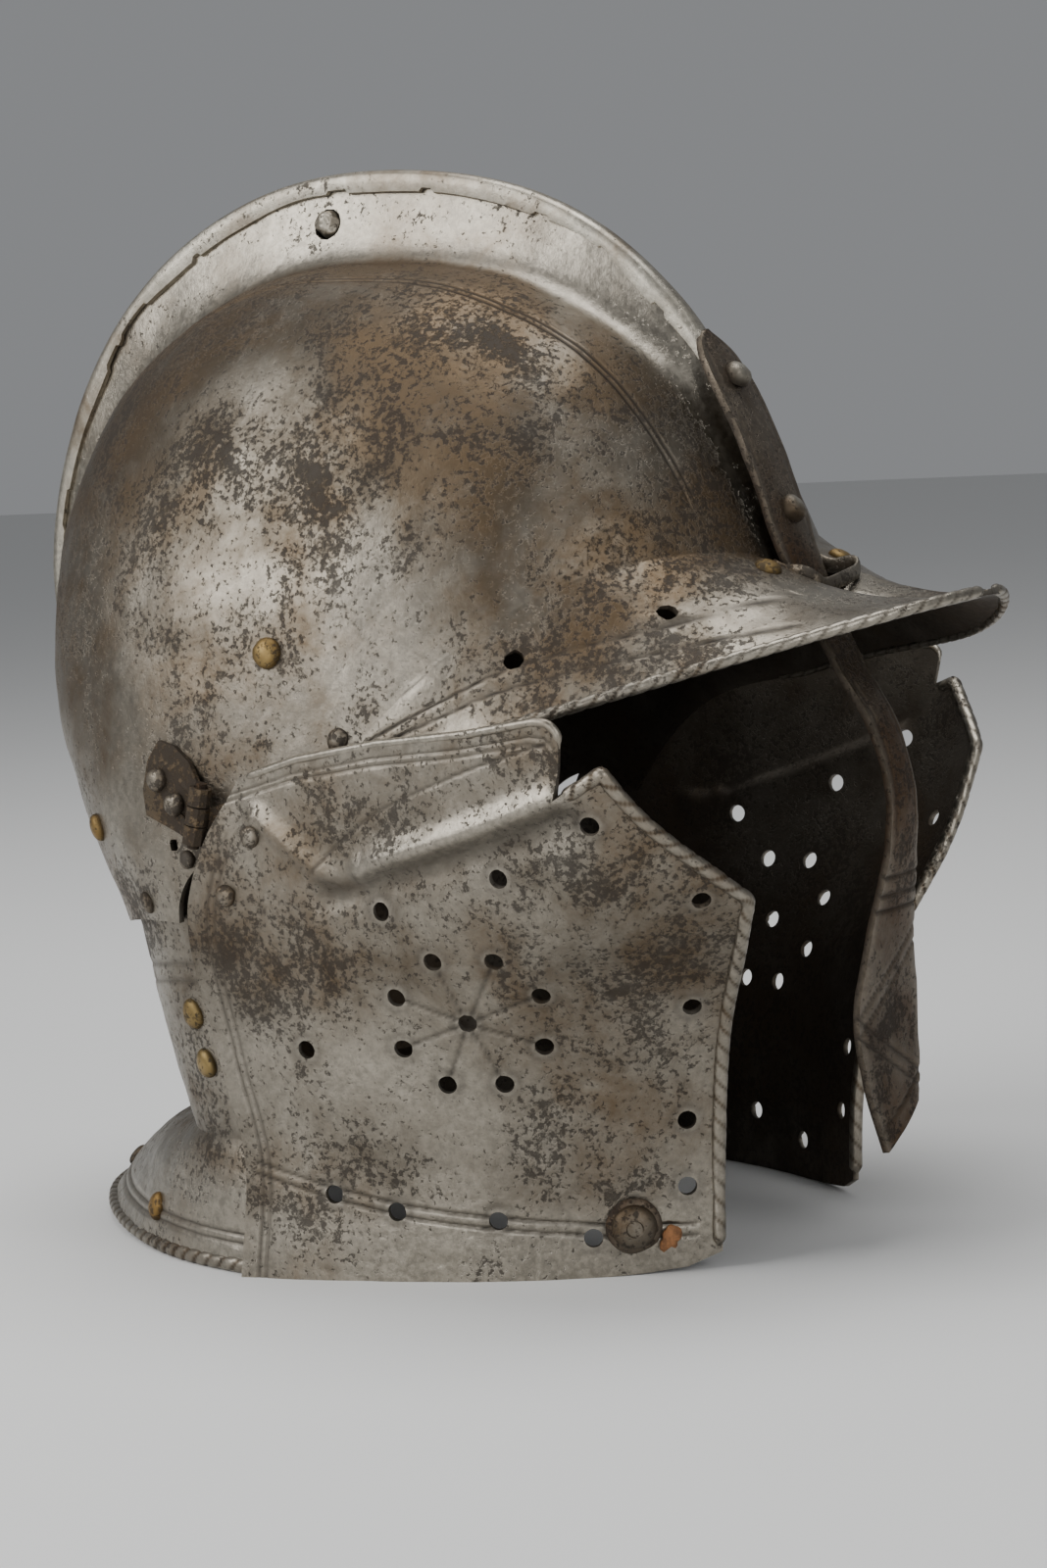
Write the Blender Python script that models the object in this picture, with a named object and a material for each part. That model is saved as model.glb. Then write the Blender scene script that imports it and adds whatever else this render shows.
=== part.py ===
"""Burgonet: an open steel helmet of the sixteenth century, with a high comb, a
pointed peak, a nasal bar, a flared neck guard and two hinged cheekpieces.

Metres, +Z up. The face looks along -Y, the wearer's right is -X. The origin is
on the surface that the helmet stands on, midway between the cheekpieces and
below the ears. The skull is two halves, each a fan of half sections about a
line from ear to ear, so a point on it is an angle from the brow over the top
to the nape, and a place between ear and crest.
"""

import math

import bmesh
import bpy
import numpy as np
from mathutils import Matrix, Vector
from mathutils.bvhtree import BVHTree

# Heights above the resting surface
CHEEK_HEIGHT = 0.150      # of the cheekpieces, the shares below are of it
EAR_HEIGHT = 0.6 * CHEEK_HEIGHT     # the line from ear to ear
HINGE_HEIGHT = 0.8 * CHEEK_HEIGHT

# Skull
SKULL_WIDTH = 0.181       # outside, ear to ear
CREST_RADIUS = 0.1905     # from the ear line to the top of the comb
EAR_BACK = 0.006          # of the ear line behind the origin
EAR_NOTCH = 0.020         # radius of the open notch round the ear
COMB_RISE = 0.024         # tallest comb above the bowl
COMB_FOOT = 0.014         # half width of the comb where it leaves the bowl
CREST_HALF = 0.0018       # half thickness at the crest
SKULL_FULLNESS = 2.35     # 2 is an ellipse, more is boxier
SHEET = 0.0015            # steel sheet
PEAK_SHARES = (1.0, 0.96, 0.72, 0.45, 0.2)  # its rows, from its edge back to the brow
GAP = 0.0003              # kept between pieces that touch

# Peak
PEAK_REACH = 0.1640       # tip in front of the origin
PEAK_ROOT = 0.038         # where its edge leaves the brow
PEAK_HALF = SKULL_WIDTH / 2 - 0.0005      # half width there
PEAK_TIP_HEIGHT = EAR_HEIGHT + 0.0765
PEAK_SLOPE = 0.277        # fall of the edge per length backwards
PEAK_SAG = 0.004
EDGE_ROLL = 0.0038        # thickness of a turned and roped edge

# Neck guard, inside the cheekpieces at its front ends
CHEEK_HALF = SKULL_WIDTH / 2 - 0.0025     # outside of a cheekpiece at its hinge edge
GUARD_HALF = CHEEK_HALF - 0.0025          # half width of its rim
GUARD_REACH = 0.114       # rim behind the origin
GUARD_LIFT = 0.003        # rim above the resting surface at the back
WAIST_HALF = CHEEK_HALF - 0.008
WAIST_REACH = 0.062
WAIST_HEIGHT = 0.034

# Cheekpieces
CHEEK_DEPTH = 0.101       # chin corner in front of the origin
HINGE_BACK = 0.0135       # hinge line behind the origin
HINGE_OUT = SKULL_WIDTH / 2 + 0.0033      # hinge line to the side
HINGE_LEAN = 0.25         # lean of the hinge line forwards, per length upwards
BARREL_RADIUS = 0.0030
BARREL_BORE = 0.0019      # radius
BARREL_LENGTH = 0.0150
PIN_RADIUS = 0.0016
LEAF_SHEET = 0.0015
LEAF_WIDE = 0.020         # of the leaf on the skull, hinge line to back edge

# Nasal bar
BAR_SHEET = 0.0018
BAR_WIDTH = 0.020         # of the stem on the comb

# Rivets and holes
STEEL_RIVET = 0.0032
BREATH_HOLE = 0.0024      # radius
PLUG_HOLE = 0.0042        # radius of the hole in the comb
STUD_RADIUS = 0.0056
WASHER_RADIUS = 0.0068

BOWL_STEPS = 9
SKULL_ROWS = 26

# angle from the front in degrees, crest radius as a share of CREST_RADIUS,
# comb as a share of COMB_RISE, fullness as a share of SKULL_FULLNESS
SKULL_STATIONS = (
    (30.0, 0.730, 0.08, 1.00),
    (40.0, 0.776, 0.16, 1.00),
    (50.0, 0.842, 0.30, 1.00),
    (60.0, 0.910, 0.50, 1.00),
    (72.0, 0.968, 0.78, 1.00),
    (88.0, 0.996, 0.92, 0.98),
    (104.0, 1.000, 0.96, 0.95),
    (118.0, 0.960, 0.95, 0.92),
    (131.0, 0.882, 0.95, 0.88),
    (146.0, 0.762, 0.98, 0.86),
    (160.0, 0.602, 0.70, 0.86),
    (172.0, 0.466, 0.24, 0.86),
    (192.0, 0.378, 0.00, 0.86),
)
# place from ear to crest, brow angle, nape angle
RIM_STATIONS = (
    (0.0, 55.0, 176.0),
    (0.3, 46.0, 183.0),
    (0.6, 38.0, 186.0),
    (1.0, 32.6, 187.0),
)
# comb flank: half width as a share of COMB_FOOT
FLANK = (0.74, 0.54, 0.38, 0.26, 0.17)
# height, back edge, front edge, then outward place at five shares of the way
# forward; heights are of CHEEK_HEIGHT, places along of CHEEK_DEPTH, outward
# ones of CHEEK_HALF
CHEEK_LEVELS = (
    (0.00, 0.135, -1.00, 1.000, 0.925, 0.825, 0.660, 0.460),
    (0.20, 0.105, -1.02, 0.990, 0.935, 0.850, 0.680, 0.470),
    (0.40, 0.150, -1.08, 1.025, 1.005, 0.935, 0.760, 0.530),
    (0.66, 0.175, -1.26, 1.070, 1.090, 1.085, 0.985, 0.722),
    (0.76, 0.110, -1.30, 1.075, 1.110, 1.120, 1.045, 0.800),
    (0.88, -0.020, -1.34, 1.075, 1.115, 1.145, 1.085, 0.870),
    (1.00, -0.090, -1.40, 1.075, 1.120, 1.160, 1.130, 0.950),
)
# height, how far forward the left one reaches as a share of the right one
LEFT_REACH = (
    (0.00, 0.96),
    (0.40, 0.95),
    (0.70, 0.93),
    (0.88, 0.905),
    (1.00, 0.90),
)
CHEEK_SHARES = (0.0, 0.3, 0.55, 0.8, 1.0)
# share of the way forward, bottom, top, of CHEEK_HEIGHT
RIGHT_OUTLINE = (
    (0.00, 0.000, 0.865),
    (0.12, 0.000, 0.900),
    (0.30, 0.000, 0.928),
    (0.50, 0.000, 0.945),
    (0.66, 0.000, 0.965),
    (0.70, 0.000, 0.940),
    (0.715, 0.000, 0.840),
    (0.785, 0.000, 0.885),
    (0.86, 0.002, 0.800),
    (0.94, 0.008, 0.715),
    (1.00, 0.030, 0.650),
)
LEFT_OUTLINE = (
    (0.00, 0.000, 0.865),
    (0.12, 0.000, 0.900),
    (0.30, 0.000, 0.928),
    (0.50, 0.000, 0.945),
    (0.76, 0.000, 0.965),
    (0.80, 0.001, 0.945),
    (0.815, 0.001, 0.895),
    (0.865, 0.002, 0.905),
    (0.91, 0.005, 0.870),
    (0.955, 0.010, 0.835),
    (1.00, 0.030, 0.795),
)
# forward as a share of PEAK_REACH, height as a share of PEAK_TIP_HEIGHT, width
# as a share of BAR_WIDTH, down the nasal bar below the peak
BAR_STATIONS = (
    (0.728, 0.955, 0.78),
    (0.760, 0.890, 0.72),
    (0.812, 0.800, 0.70),
    (0.838, 0.700, 0.72),
    (0.832, 0.600, 0.80),
    (0.808, 0.480, 1.20),
    (0.795, 0.360, 1.66),
    (0.800, 0.260, 1.45),
    (0.812, 0.150, 0.90),
)
BAR_STEM = (57.0, 36.0)   # degrees of the comb's crest that its stem covers

# angle in degrees, place, radius share of STEEL_RIVET, and the material
SKULL_RIVETS = {
    "lining_rivet_side": (81.0, 0.128, 1.25, "brass"),
    "lining_rivet_brow": (35.2, 0.577, 1.10, "brass"),
    "lining_rivet_nape": (156.0, 0.200, 1.15, "brass"),
    "brow_rivet": (56.5, 0.098, 0.95, "steel"),
    "nape_rivet": (170.0, 0.085, 0.95, "steel"),
    "ear_rivet": (129.0, 0.010, 0.75, "steel"),
}
# row and column on the neck guard's grid, radius share, material
GUARD_RIVETS = {
    "lining_rivet_neck_upper": (2.4, 0.9, 1.25, "brass"),
    "lining_rivet_neck_lower": (3.2, 1.1, 1.20, "brass"),
    "guard_rivet_side": (8.9, 4.4, 1.15, "brass"),
    "guard_rivet_back": (8.9, 9.8, 1.00, "steel"),
}
SKULL_HOLES = ((41.1, 0.264), (35.0, 0.417))
COMB_PLUG = (95.8, 0.84)
FOLD_SPAN = (59.0, 149.0)  # degrees of the crest that the turned edge covers
# share of the way forward and share of CHEEK_HEIGHT
FLOWER = (0.573, 0.454)
FLOWER_SPREAD = (0.146, 0.118)
CHEEK_HOLES = (
    (0.413, 0.647),
    (0.633, 0.706),
    (0.222, 0.404),
    (0.780, 0.790),
    (0.935, 0.655),
    (0.940, 0.463),
    (0.940, 0.261),
    (0.940, 0.147),
    (0.773, 0.069),
    (0.587, 0.105),
    (0.367, 0.122),
    (0.219, 0.150),
)
CHEEK_RIVETS = ((0.102, 0.767), (0.083, 0.666))
CHIN_STUD = (0.845, 0.088)


def cubic(xs, ys, x):
    """Smooth curve through the points (xs, ys), read at x, flat past the ends."""
    xs = np.asarray(xs, float)
    ys = np.asarray(ys, float)
    x = np.clip(np.asarray(x, float), xs[0], xs[-1])
    chord = np.diff(ys) / np.diff(xs)
    slope = np.empty_like(ys)
    slope[0] = chord[0]
    slope[-1] = chord[-1]
    wide = np.diff(xs)
    slope[1:-1] = (chord[:-1] * wide[1:] + chord[1:] * wide[:-1]) / (wide[1:] + wide[:-1])
    i = np.clip(np.searchsorted(xs, x) - 1, 0, len(xs) - 2)
    step = wide[i]
    t = (x - xs[i]) / step
    a = ys[i] * (1 + 2 * t) * (1 - t) ** 2
    b = ys[i + 1] * t * t * (3 - 2 * t)
    c = slope[i] * step * t * (1 - t) ** 2
    d = slope[i + 1] * step * t * t * (t - 1)
    return a + b + c + d


def column(table, index):
    return [row[index] for row in table]


def smooth(t):
    t = np.clip(t, 0.0, 1.0)
    return t * t * (3 - 2 * t)


def section(angle, place):
    """Half section of the skull's outside: half width and radius, at a place
    from 0 at the ear notch to 1 at the crest."""
    half = SKULL_WIDTH / 2
    degrees = np.degrees(angle)
    crest = CREST_RADIUS * cubic(column(SKULL_STATIONS, 0), column(SKULL_STATIONS, 1), degrees)
    comb = COMB_RISE * cubic(column(SKULL_STATIONS, 0), column(SKULL_STATIONS, 2), degrees)
    bowl = crest - comb
    fullness = cubic(column(SKULL_STATIONS, 0), column(SKULL_STATIONS, 3), degrees)
    power = 2 / (SKULL_FULLNESS * fullness)
    low = np.arcsin((EAR_NOTCH / bowl) ** (1 / power))
    high = np.arccos((COMB_FOOT / half) ** (1 / power))
    turn = BOWL_STEPS / (BOWL_STEPS + len(FLANK) + 1)
    theta = low + (high - low) * np.clip(place / turn, 0, 1)
    knots = np.concatenate(([1.0], FLANK, [CREST_HALF / COMB_FOOT]))
    flank = np.interp((place - turn) / (1 - turn), np.linspace(0, 1, len(knots)), knots)
    wide = np.where(place <= turn, half * np.cos(theta) ** power, COMB_FOOT * flank)
    round_part = bowl * np.sin(np.arccos((wide / half) ** (1 / power))) ** power
    lift = np.clip((COMB_FOOT - wide) / (COMB_FOOT - CREST_HALF), 0, 1) ** 3.0
    return wide, round_part + comb * lift


def skull_point(angle, place):
    """A point on the outside of the right half."""
    wide, radius = section(angle, place)
    y = EAR_BACK - radius * np.cos(angle)
    z = EAR_HEIGHT + radius * np.sin(angle)
    return np.stack([-wide, y, z], -1)


def rim_angles(place):
    shares = column(RIM_STATIONS, 0)
    brow = np.radians(cubic(shares, column(RIM_STATIONS, 1), place))
    nape = np.radians(cubic(shares, column(RIM_STATIONS, 2), place))
    return brow, nape


def peak_edge(root, drop):
    """Edge of the peak outside each point of the brow line."""
    x = np.abs(root[:, 0])
    inside = np.clip(1 - (x / PEAK_HALF) ** 1.9, 0, 1)
    y = -(PEAK_ROOT + (PEAK_REACH - PEAK_ROOT) * inside ** 0.72)
    y = np.minimum(y, root[:, 1] - 0.004)
    z = PEAK_TIP_HEIGHT - PEAK_SLOPE * (PEAK_REACH + y)
    z = z - drop * np.sin(np.pi * np.clip(x / PEAK_HALF, 0, 1)) ** 2
    far = np.stack([root[:, 0], y, z], -1)
    near = root + np.array([0.0, -0.0025, -0.0020])
    share = smooth((PEAK_HALF - 0.0005 - x) / 0.006)[:, None]
    return near * (1 - share) + far * share


def skull_grid(drop):
    """Rows from the peak's edge to the nape, places from ear to crest. The
    halves meet along the middle of the peak and stand apart at the crest."""
    places = np.linspace(0, 1, BOWL_STEPS + len(FLANK) + 2)
    brow, nape = rim_angles(places)
    rows = []
    root = skull_point(brow, places)
    edge = peak_edge(root, drop)
    for share in PEAK_SHARES:
        sag = PEAK_SAG * math.sin(math.pi * share)
        row = root * (1 - share) + edge * share
        reach = np.linalg.norm(edge - root, axis=1) / (PEAK_REACH - 0.11)
        row[:, 2] -= sag * np.clip(reach, 0, 1)
        rows.append(row)
    for share in np.linspace(0, 1, SKULL_ROWS):
        rows.append(skull_point(brow + (nape - brow) * share, places))
    return np.array(rows)


def normals(grid):
    """Outward on the skull and the neck guard, inward on a cheekpiece, whose
    columns run the other way."""
    along = np.gradient(grid, axis=0)
    across = np.gradient(grid, axis=1)
    n = np.cross(across, along)
    return n / np.linalg.norm(n, axis=-1, keepdims=True)


def material(name, colour, roughness, metallic):
    mat = bpy.data.materials.new(name)
    mat.use_nodes = True
    shader = mat.node_tree.nodes["Principled BSDF"]
    shader.inputs["Base Color"].default_value = (*colour, 1.0)
    shader.inputs["Roughness"].default_value = roughness
    shader.inputs["Metallic"].default_value = metallic
    return mat


def add_object(name, mesh, mat, parent=None):
    obj = bpy.data.objects.new(name, mesh)
    bpy.context.scene.collection.objects.link(obj)
    mesh.materials.append(mat)
    mesh.shade_smooth()
    mesh.set_sharp_from_angle(angle=math.radians(35))
    if parent is not None:
        obj.parent = parent
        place = parent.matrix_basis.inverted()
        mesh.transform(place)
    return obj


def faces_out(mesh):
    bm = bmesh.new()
    bm.from_mesh(mesh)
    bmesh.ops.recalc_face_normals(bm, faces=bm.faces)
    bm.to_mesh(mesh)
    bm.free()


def shell(name, outer, thick, mat, parent=None, inner=None):
    """Closed sheet from a grid of outside points and the wall's thickness."""
    rows, cols = outer.shape[:2]
    if inner is None:
        inner = outer - normals(outer) * np.broadcast_to(thick, (rows, cols))[..., None]
    points = np.concatenate([outer.reshape(-1, 3), inner.reshape(-1, 3)])
    index = np.arange(rows * cols).reshape(rows, cols)
    under = index + rows * cols
    faces = []

    def quads(a, b, c, d):
        stacked = np.stack([a, b, c, d], -1).reshape(-1, 4)
        faces.extend(stacked.tolist())

    quads(index[:-1, :-1], index[1:, :-1], index[1:, 1:], index[:-1, 1:])
    quads(under[:-1, :-1], under[:-1, 1:], under[1:, 1:], under[1:, :-1])
    quads(index[0, :-1], index[0, 1:], under[0, 1:], under[0, :-1])
    quads(index[-1, 1:], index[-1, :-1], under[-1, :-1], under[-1, 1:])
    quads(index[1:, 0], index[:-1, 0], under[:-1, 0], under[1:, 0])
    quads(index[:-1, -1], index[1:, -1], under[1:, -1], under[:-1, -1])
    mesh = bpy.data.meshes.new(name)
    mesh.from_pydata(points.tolist(), [], faces)
    faces_out(mesh)
    return add_object(name, mesh, mat, parent)


def mirrored(points):
    return points * np.array([-1.0, 1.0, 1.0])


def cutter(name, mesh):
    obj = bpy.data.objects.new(name, mesh)
    bpy.context.scene.collection.objects.link(obj)
    obj.hide_render = True
    obj.display_type = "WIRE"
    return obj


def prism(name, centre, normal, radius, depth, sides=6):
    """Upright prism whose axis is the normal, centred on a point."""
    mesh = bpy.data.meshes.new(name)
    bm = bmesh.new()
    turn = Vector(normal).to_track_quat("Z", "Y").to_matrix().to_4x4()
    bmesh.ops.create_cone(
        bm,
        cap_ends=True,
        segments=sides,
        radius1=radius,
        radius2=radius,
        depth=depth,
        matrix=Matrix.Translation(centre) @ turn,
    )
    bm.to_mesh(mesh)
    bm.free()
    return mesh


def cut(obj, tool):
    modifier = obj.modifiers.new("cut_" + tool.name, "BOOLEAN")
    modifier.operation = "DIFFERENCE"
    modifier.solver = "EXACT"
    modifier.object = tool


def join_cutters(name, meshes):
    bm = bmesh.new()
    for mesh in meshes:
        bm.from_mesh(mesh)
    mesh = bpy.data.meshes.new(name)
    bm.to_mesh(mesh)
    bm.free()
    return cutter(name, mesh)


def tree_of(obj):
    mesh = obj.data
    world = obj.parent.matrix_basis if obj.parent else Matrix.Identity(4)
    points = [world @ v.co for v in mesh.vertices]
    polygons = [list(p.vertices) for p in mesh.polygons]
    return BVHTree.FromPolygons(points, polygons)


def on_surface(tree, point, outward):
    """Where a line from outside, against the outward direction, meets a wall."""
    out = Vector(outward).normalized()
    hit, normal, _, _ = tree.ray_cast(Vector(point) + out * 0.03, -out, 0.08)
    if hit is None:
        hit, normal, _, _ = tree.find_nearest(Vector(point))
    if normal.dot(out) < 0:
        normal = -normal
    return hit, normal


def dome(name, spot, normal, radius, rise, mat, parent=None, sides=8, lift=GAP):
    """Rivet head: a low dome on a short straight side."""
    profile = ((0.0, rise), (0.55, 0.84 * rise), (0.9, 0.42 * rise), (1.0, 0.0))
    bm = bmesh.new()
    rings = []
    for share, height in profile[1:]:
        ring = []
        for k in range(sides):
            a = 2 * math.pi * k / sides
            ring.append(bm.verts.new((radius * share * math.cos(a), radius * share * math.sin(a), height)))
        rings.append(ring)
    top = bm.verts.new((0, 0, profile[0][1]))
    for k in range(sides):
        j = (k + 1) % sides
        bm.faces.new((top, rings[0][k], rings[0][j]))
        for upper, lower in zip(rings[:-1], rings[1:]):
            bm.faces.new((upper[k], lower[k], lower[j], upper[j]))
    bm.faces.new(list(reversed(rings[-1])))
    turn = Vector(normal).to_track_quat("Z", "Y").to_matrix().to_4x4()
    place = Matrix.Translation(Vector(spot) + Vector(normal) * lift) @ turn
    bmesh.ops.transform(bm, matrix=place, verts=bm.verts)
    mesh = bpy.data.meshes.new(name)
    bm.to_mesh(mesh)
    bm.free()
    faces_out(mesh)
    return add_object(name, mesh, mat, parent)


def strip(name, centres, outs, widths, thick, mat, parent=None):
    """Flat bar along a path in the middle plane, its width across X."""
    centres = np.asarray(centres)
    outs = np.asarray(outs)
    outs = outs / np.linalg.norm(outs, axis=1, keepdims=True)
    shares = np.array([-1.0, 0.0, 1.0])
    outer = centres[:, None, :] + shares[None, :, None] * np.array([1.0, 0, 0]) * (
        np.asarray(widths)[:, None, None] / 2
    )
    inner = outer - outs[:, None, :] * thick
    return shell(name, outer, thick, mat, parent, inner=inner)


def cheek_surface(share, height):
    """Outside of the right cheekpiece at a share of the way forward and a
    height in metres."""
    levels = np.array(CHEEK_LEVELS)
    h = np.asarray(height) / CHEEK_HEIGHT
    share = np.asarray(share, float)
    back = CHEEK_DEPTH * cubic(levels[:, 0], levels[:, 1], h)
    front = CHEEK_DEPTH * cubic(levels[:, 0], levels[:, 2], h)
    y = back + (front - back) * share
    outs = [cubic(levels[:, 0], levels[:, 3 + k], h) for k in range(5)]
    outs = np.stack(np.broadcast_arrays(*outs), -1)
    out = np.empty(np.broadcast(share, h).shape)
    shares = np.broadcast_to(share, out.shape)
    for i in np.ndindex(out.shape):
        out[i] = cubic(CHEEK_SHARES, np.broadcast_to(outs, out.shape + (5,))[i], shares[i])
    x = -CHEEK_HALF * out
    z = np.broadcast_to(np.asarray(height, float), out.shape)
    return np.stack([x, np.broadcast_to(y, out.shape), z], -1)


def cheek_grid(side, steps=12):
    """Columns forward, each from the bottom edge to the top edge."""
    table = np.array(RIGHT_OUTLINE if side < 0 else LEFT_OUTLINE)
    wide = np.linspace(0, table[4, 0], 8)
    forward = np.concatenate([wide, table[5:, 0]])
    bottom = CHEEK_HEIGHT * np.interp(forward, table[:, 0], table[:, 1])
    top = CHEEK_HEIGHT * np.interp(forward, table[:, 0], table[:, 2])
    share = np.linspace(0, 1, steps + 1)
    heights = bottom[:, None] + (top - bottom)[:, None] * share[None, :]
    forward = np.broadcast_to(forward[:, None], heights.shape)
    if side > 0:
        reach = np.array(LEFT_REACH)
        forward = forward * cubic(reach[:, 0], reach[:, 1], heights / CHEEK_HEIGHT)
    return cheek_surface(forward, heights)


def guard_grid():
    """Rows from under the skull's nape rim down to the waist and out to the
    rim, places from the right side to the middle of the back."""
    places = np.linspace(0, 1, 13)
    _, nape = rim_angles(places)
    rows = []
    for extra in (-5.0, 1.5):
        angle = nape + math.radians(extra)
        point = skull_point(np.minimum(angle, math.radians(192)), places)
        centre = np.array([0.0, 0.0, EAR_HEIGHT])
        flat = (point - centre) * np.array([1.0, 1.0, 0.0])
        size = np.linalg.norm(flat, axis=1, keepdims=True)
        rows.append(point - flat / size * (SHEET + 2 * GAP))
    turn = np.radians(90 * (1 - places))
    top = rows[-1].copy()

    def ring(half, reach, power, height):
        x = -half * np.sin(turn) ** power
        y = reach * np.cos(turn) ** power
        return np.stack([x, y, height], -1)

    waist = ring(WAIST_HALF, WAIST_REACH, 0.95, np.full(13, WAIST_HEIGHT))
    rim = ring(GUARD_HALF, GUARD_REACH, 1.25, GUARD_LIFT * np.cos(turn))
    start = 0.010
    for edge in (waist, rim):
        edge[:, 1] += start * np.sin(turn) ** 4
    for share in (0.3, 0.6, 0.85):
        bow = 0.003 * math.sin(math.pi * share)
        row = top * (1 - share) + waist * share
        row[:, 1] += bow * np.cos(turn)
        rows.append(row)
    rows.append(waist)
    for share in (0.12, 0.35, 0.6, 0.82, 0.97, 1.0):
        row = waist * (1 - share) + rim * share
        row[:, 2] += 0.006 * math.sin(math.pi * share)
        rows.append(row)
    return np.array(rows)


def tube(name, centre, axis, length, outer, bore, sides=10):
    """Closed ring of the given length about an axis; a bore of 0 is a rod."""
    bm = bmesh.new()
    rings = []
    for radius, end in ((outer, -0.5), (outer, 0.5), (bore, 0.5), (bore, -0.5)):
        if radius == 0:
            continue
        ring = []
        for k in range(sides):
            a = 2 * math.pi * k / sides
            ring.append(bm.verts.new((radius * math.cos(a), radius * math.sin(a), end * length)))
        rings.append(ring)
    if bore > 0:
        pairs = list(zip(rings, rings[1:] + rings[:1]))
    else:
        pairs = [(rings[0], rings[1])]
        bm.faces.new(list(reversed(rings[0])))
        bm.faces.new(rings[1])
    for low, high in pairs:
        for k in range(sides):
            j = (k + 1) % sides
            bm.faces.new((low[k], low[j], high[j], high[k]))
    turn = Vector(axis).to_track_quat("Z", "Y").to_matrix().to_4x4()
    bmesh.ops.transform(bm, matrix=Matrix.Translation(centre) @ turn, verts=bm.verts)
    mesh = bpy.data.meshes.new(name)
    bm.to_mesh(mesh)
    bm.free()
    faces_out(mesh)
    return mesh


def fuse(obj, tool):
    modifier = obj.modifiers.new("fuse_" + tool.name, "BOOLEAN")
    modifier.operation = "UNION"
    modifier.solver = "EXACT"
    modifier.object = tool


def hinge_axis():
    axis = Vector((0.0, -HINGE_LEAN, 1.0))
    return axis.normalized()


def hinge_plane(along, back):
    """Depth and height of a point by its place along the hinge line and its
    distance behind that line."""
    axis = hinge_axis()
    y = HINGE_BACK + axis.y * along + axis.z * back
    z = HINGE_HEIGHT + axis.z * along - axis.y * back
    return y, z


def skull_leaf_grid(side, tree):
    """Hinge leaf on the skull, from its barrels to a taller back edge."""
    half = BARREL_LENGTH / 2
    grid = []
    for up in (0.0, 0.27, 0.32, 0.68, 0.73, 1.0):
        row = []
        clear = 1.22 if 0.3 < up < 0.7 else 0.62
        for share in np.linspace(0, 1, 4):
            low = -half + 0.002 * share
            high = half + 0.007 * math.sin(share * math.pi * 0.6)
            along = low + (high - low) * up
            far = LEAF_WIDE + 0.002 - 0.003 * (2 * up - 1) ** 2
            start = clear * BARREL_RADIUS
            y, z = hinge_plane(along, start + (far - start) * share)
            spot, _ = on_surface(tree, (side * SKULL_WIDTH / 2, y, z), (side, 0, 0))
            x = abs(spot.x) + GAP
            if share == 0 and clear < 1:
                x = HINGE_OUT - 0.85 * BARREL_RADIUS
            row.append([side * x, spot.y, spot.z])
        grid.append(row)
    return np.array(grid)


def cheek_leaf_grid():
    """Hinge leaf inside the right cheekpiece, from its barrel forwards."""
    half = BARREL_LENGTH / 6 - GAP
    levels = np.array(CHEEK_LEVELS)
    grid = []
    for up in np.linspace(-1, 1, 4):
        row = []
        for ahead in np.linspace(0, 1, 4):
            along = up * (half * 0.9 + 0.006 * smooth(ahead * 1.5))
            y, z = hinge_plane(along, -0.50 * BARREL_RADIUS - 0.017 * ahead)
            h = z / CHEEK_HEIGHT
            back = CHEEK_DEPTH * cubic(levels[:, 0], levels[:, 1], h)
            front = CHEEK_DEPTH * cubic(levels[:, 0], levels[:, 2], h)
            point = cheek_surface((y - back) / (front - back), z)
            row.append([point[0] + SHEET + 1.6 * GAP, y, z])
        grid.append(row)
    return np.array(grid)


def grid_point(grid, row, col):
    i = int(row)
    j = int(col)
    u = row - i
    v = col - j
    a = grid[i, j] * (1 - v) + grid[i, j + 1] * v
    b = grid[i + 1, j] * (1 - v) + grid[i + 1, j + 1] * v
    return a * (1 - u) + b * u


def cheek_spot(side, share, height):
    """Point on a cheekpiece and its outward direction."""
    reach = 1.0
    if side > 0:
        table = np.array(LEFT_REACH)
        reach = float(cubic(table[:, 0], table[:, 1], height))
    step = 0.01
    z = height * CHEEK_HEIGHT
    spot = cheek_surface(share * reach, z)
    ahead = cheek_surface(share * reach + step, z) - spot
    above = cheek_surface(share * reach, z + step * CHEEK_HEIGHT) - spot
    out = np.cross(above, ahead)
    out = out / np.linalg.norm(out)
    if out[0] > 0:
        out = -out
    if side > 0:
        spot = mirrored(spot)
        out = mirrored(out)
    return spot, out


def fold_grid():
    """Cross sections of the turned-over edge of the left half, back along the
    comb, as closed outlines: out over the crest, then back beneath."""
    over = np.array([
        (0.0022, -0.0016), (0.0019, 0.0010), (0.0009, 0.0018), (-0.0036, 0.0018),
        (-0.0046, 0.0009), (-0.0047, -0.0024),
    ])
    under = np.array([
        (0.0009, -0.0016), (0.0006, -0.0006), (0.0002, 0.0004), (-0.0028, 0.0004),
        (-0.0032, 0.0001), (-0.0034, -0.0024),
    ])
    angles = np.radians(np.linspace(FOLD_SPAN[0], FOLD_SPAN[1], 22))
    _, crest = section(angles, np.ones(22))
    grids = []
    for path in (over, under):
        radius = crest[:, None] + path[None, :, 1]
        y = EAR_BACK - radius * np.cos(angles)[:, None]
        z = EAR_HEIGHT + radius * np.sin(angles)[:, None]
        x = np.broadcast_to(path[None, :, 0], y.shape)
        grids.append(np.stack([x, y, z], -1))
    return grids


def clear_scene():
    for obj in list(bpy.data.objects):
        bpy.data.objects.remove(obj, do_unlink=True)


def both_ways(right):
    """The right half and its mirror image as one grid, back middle shared."""
    left = mirrored(right[:, ::-1])
    return np.concatenate([right, left[:, 1:]], axis=1)


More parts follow.
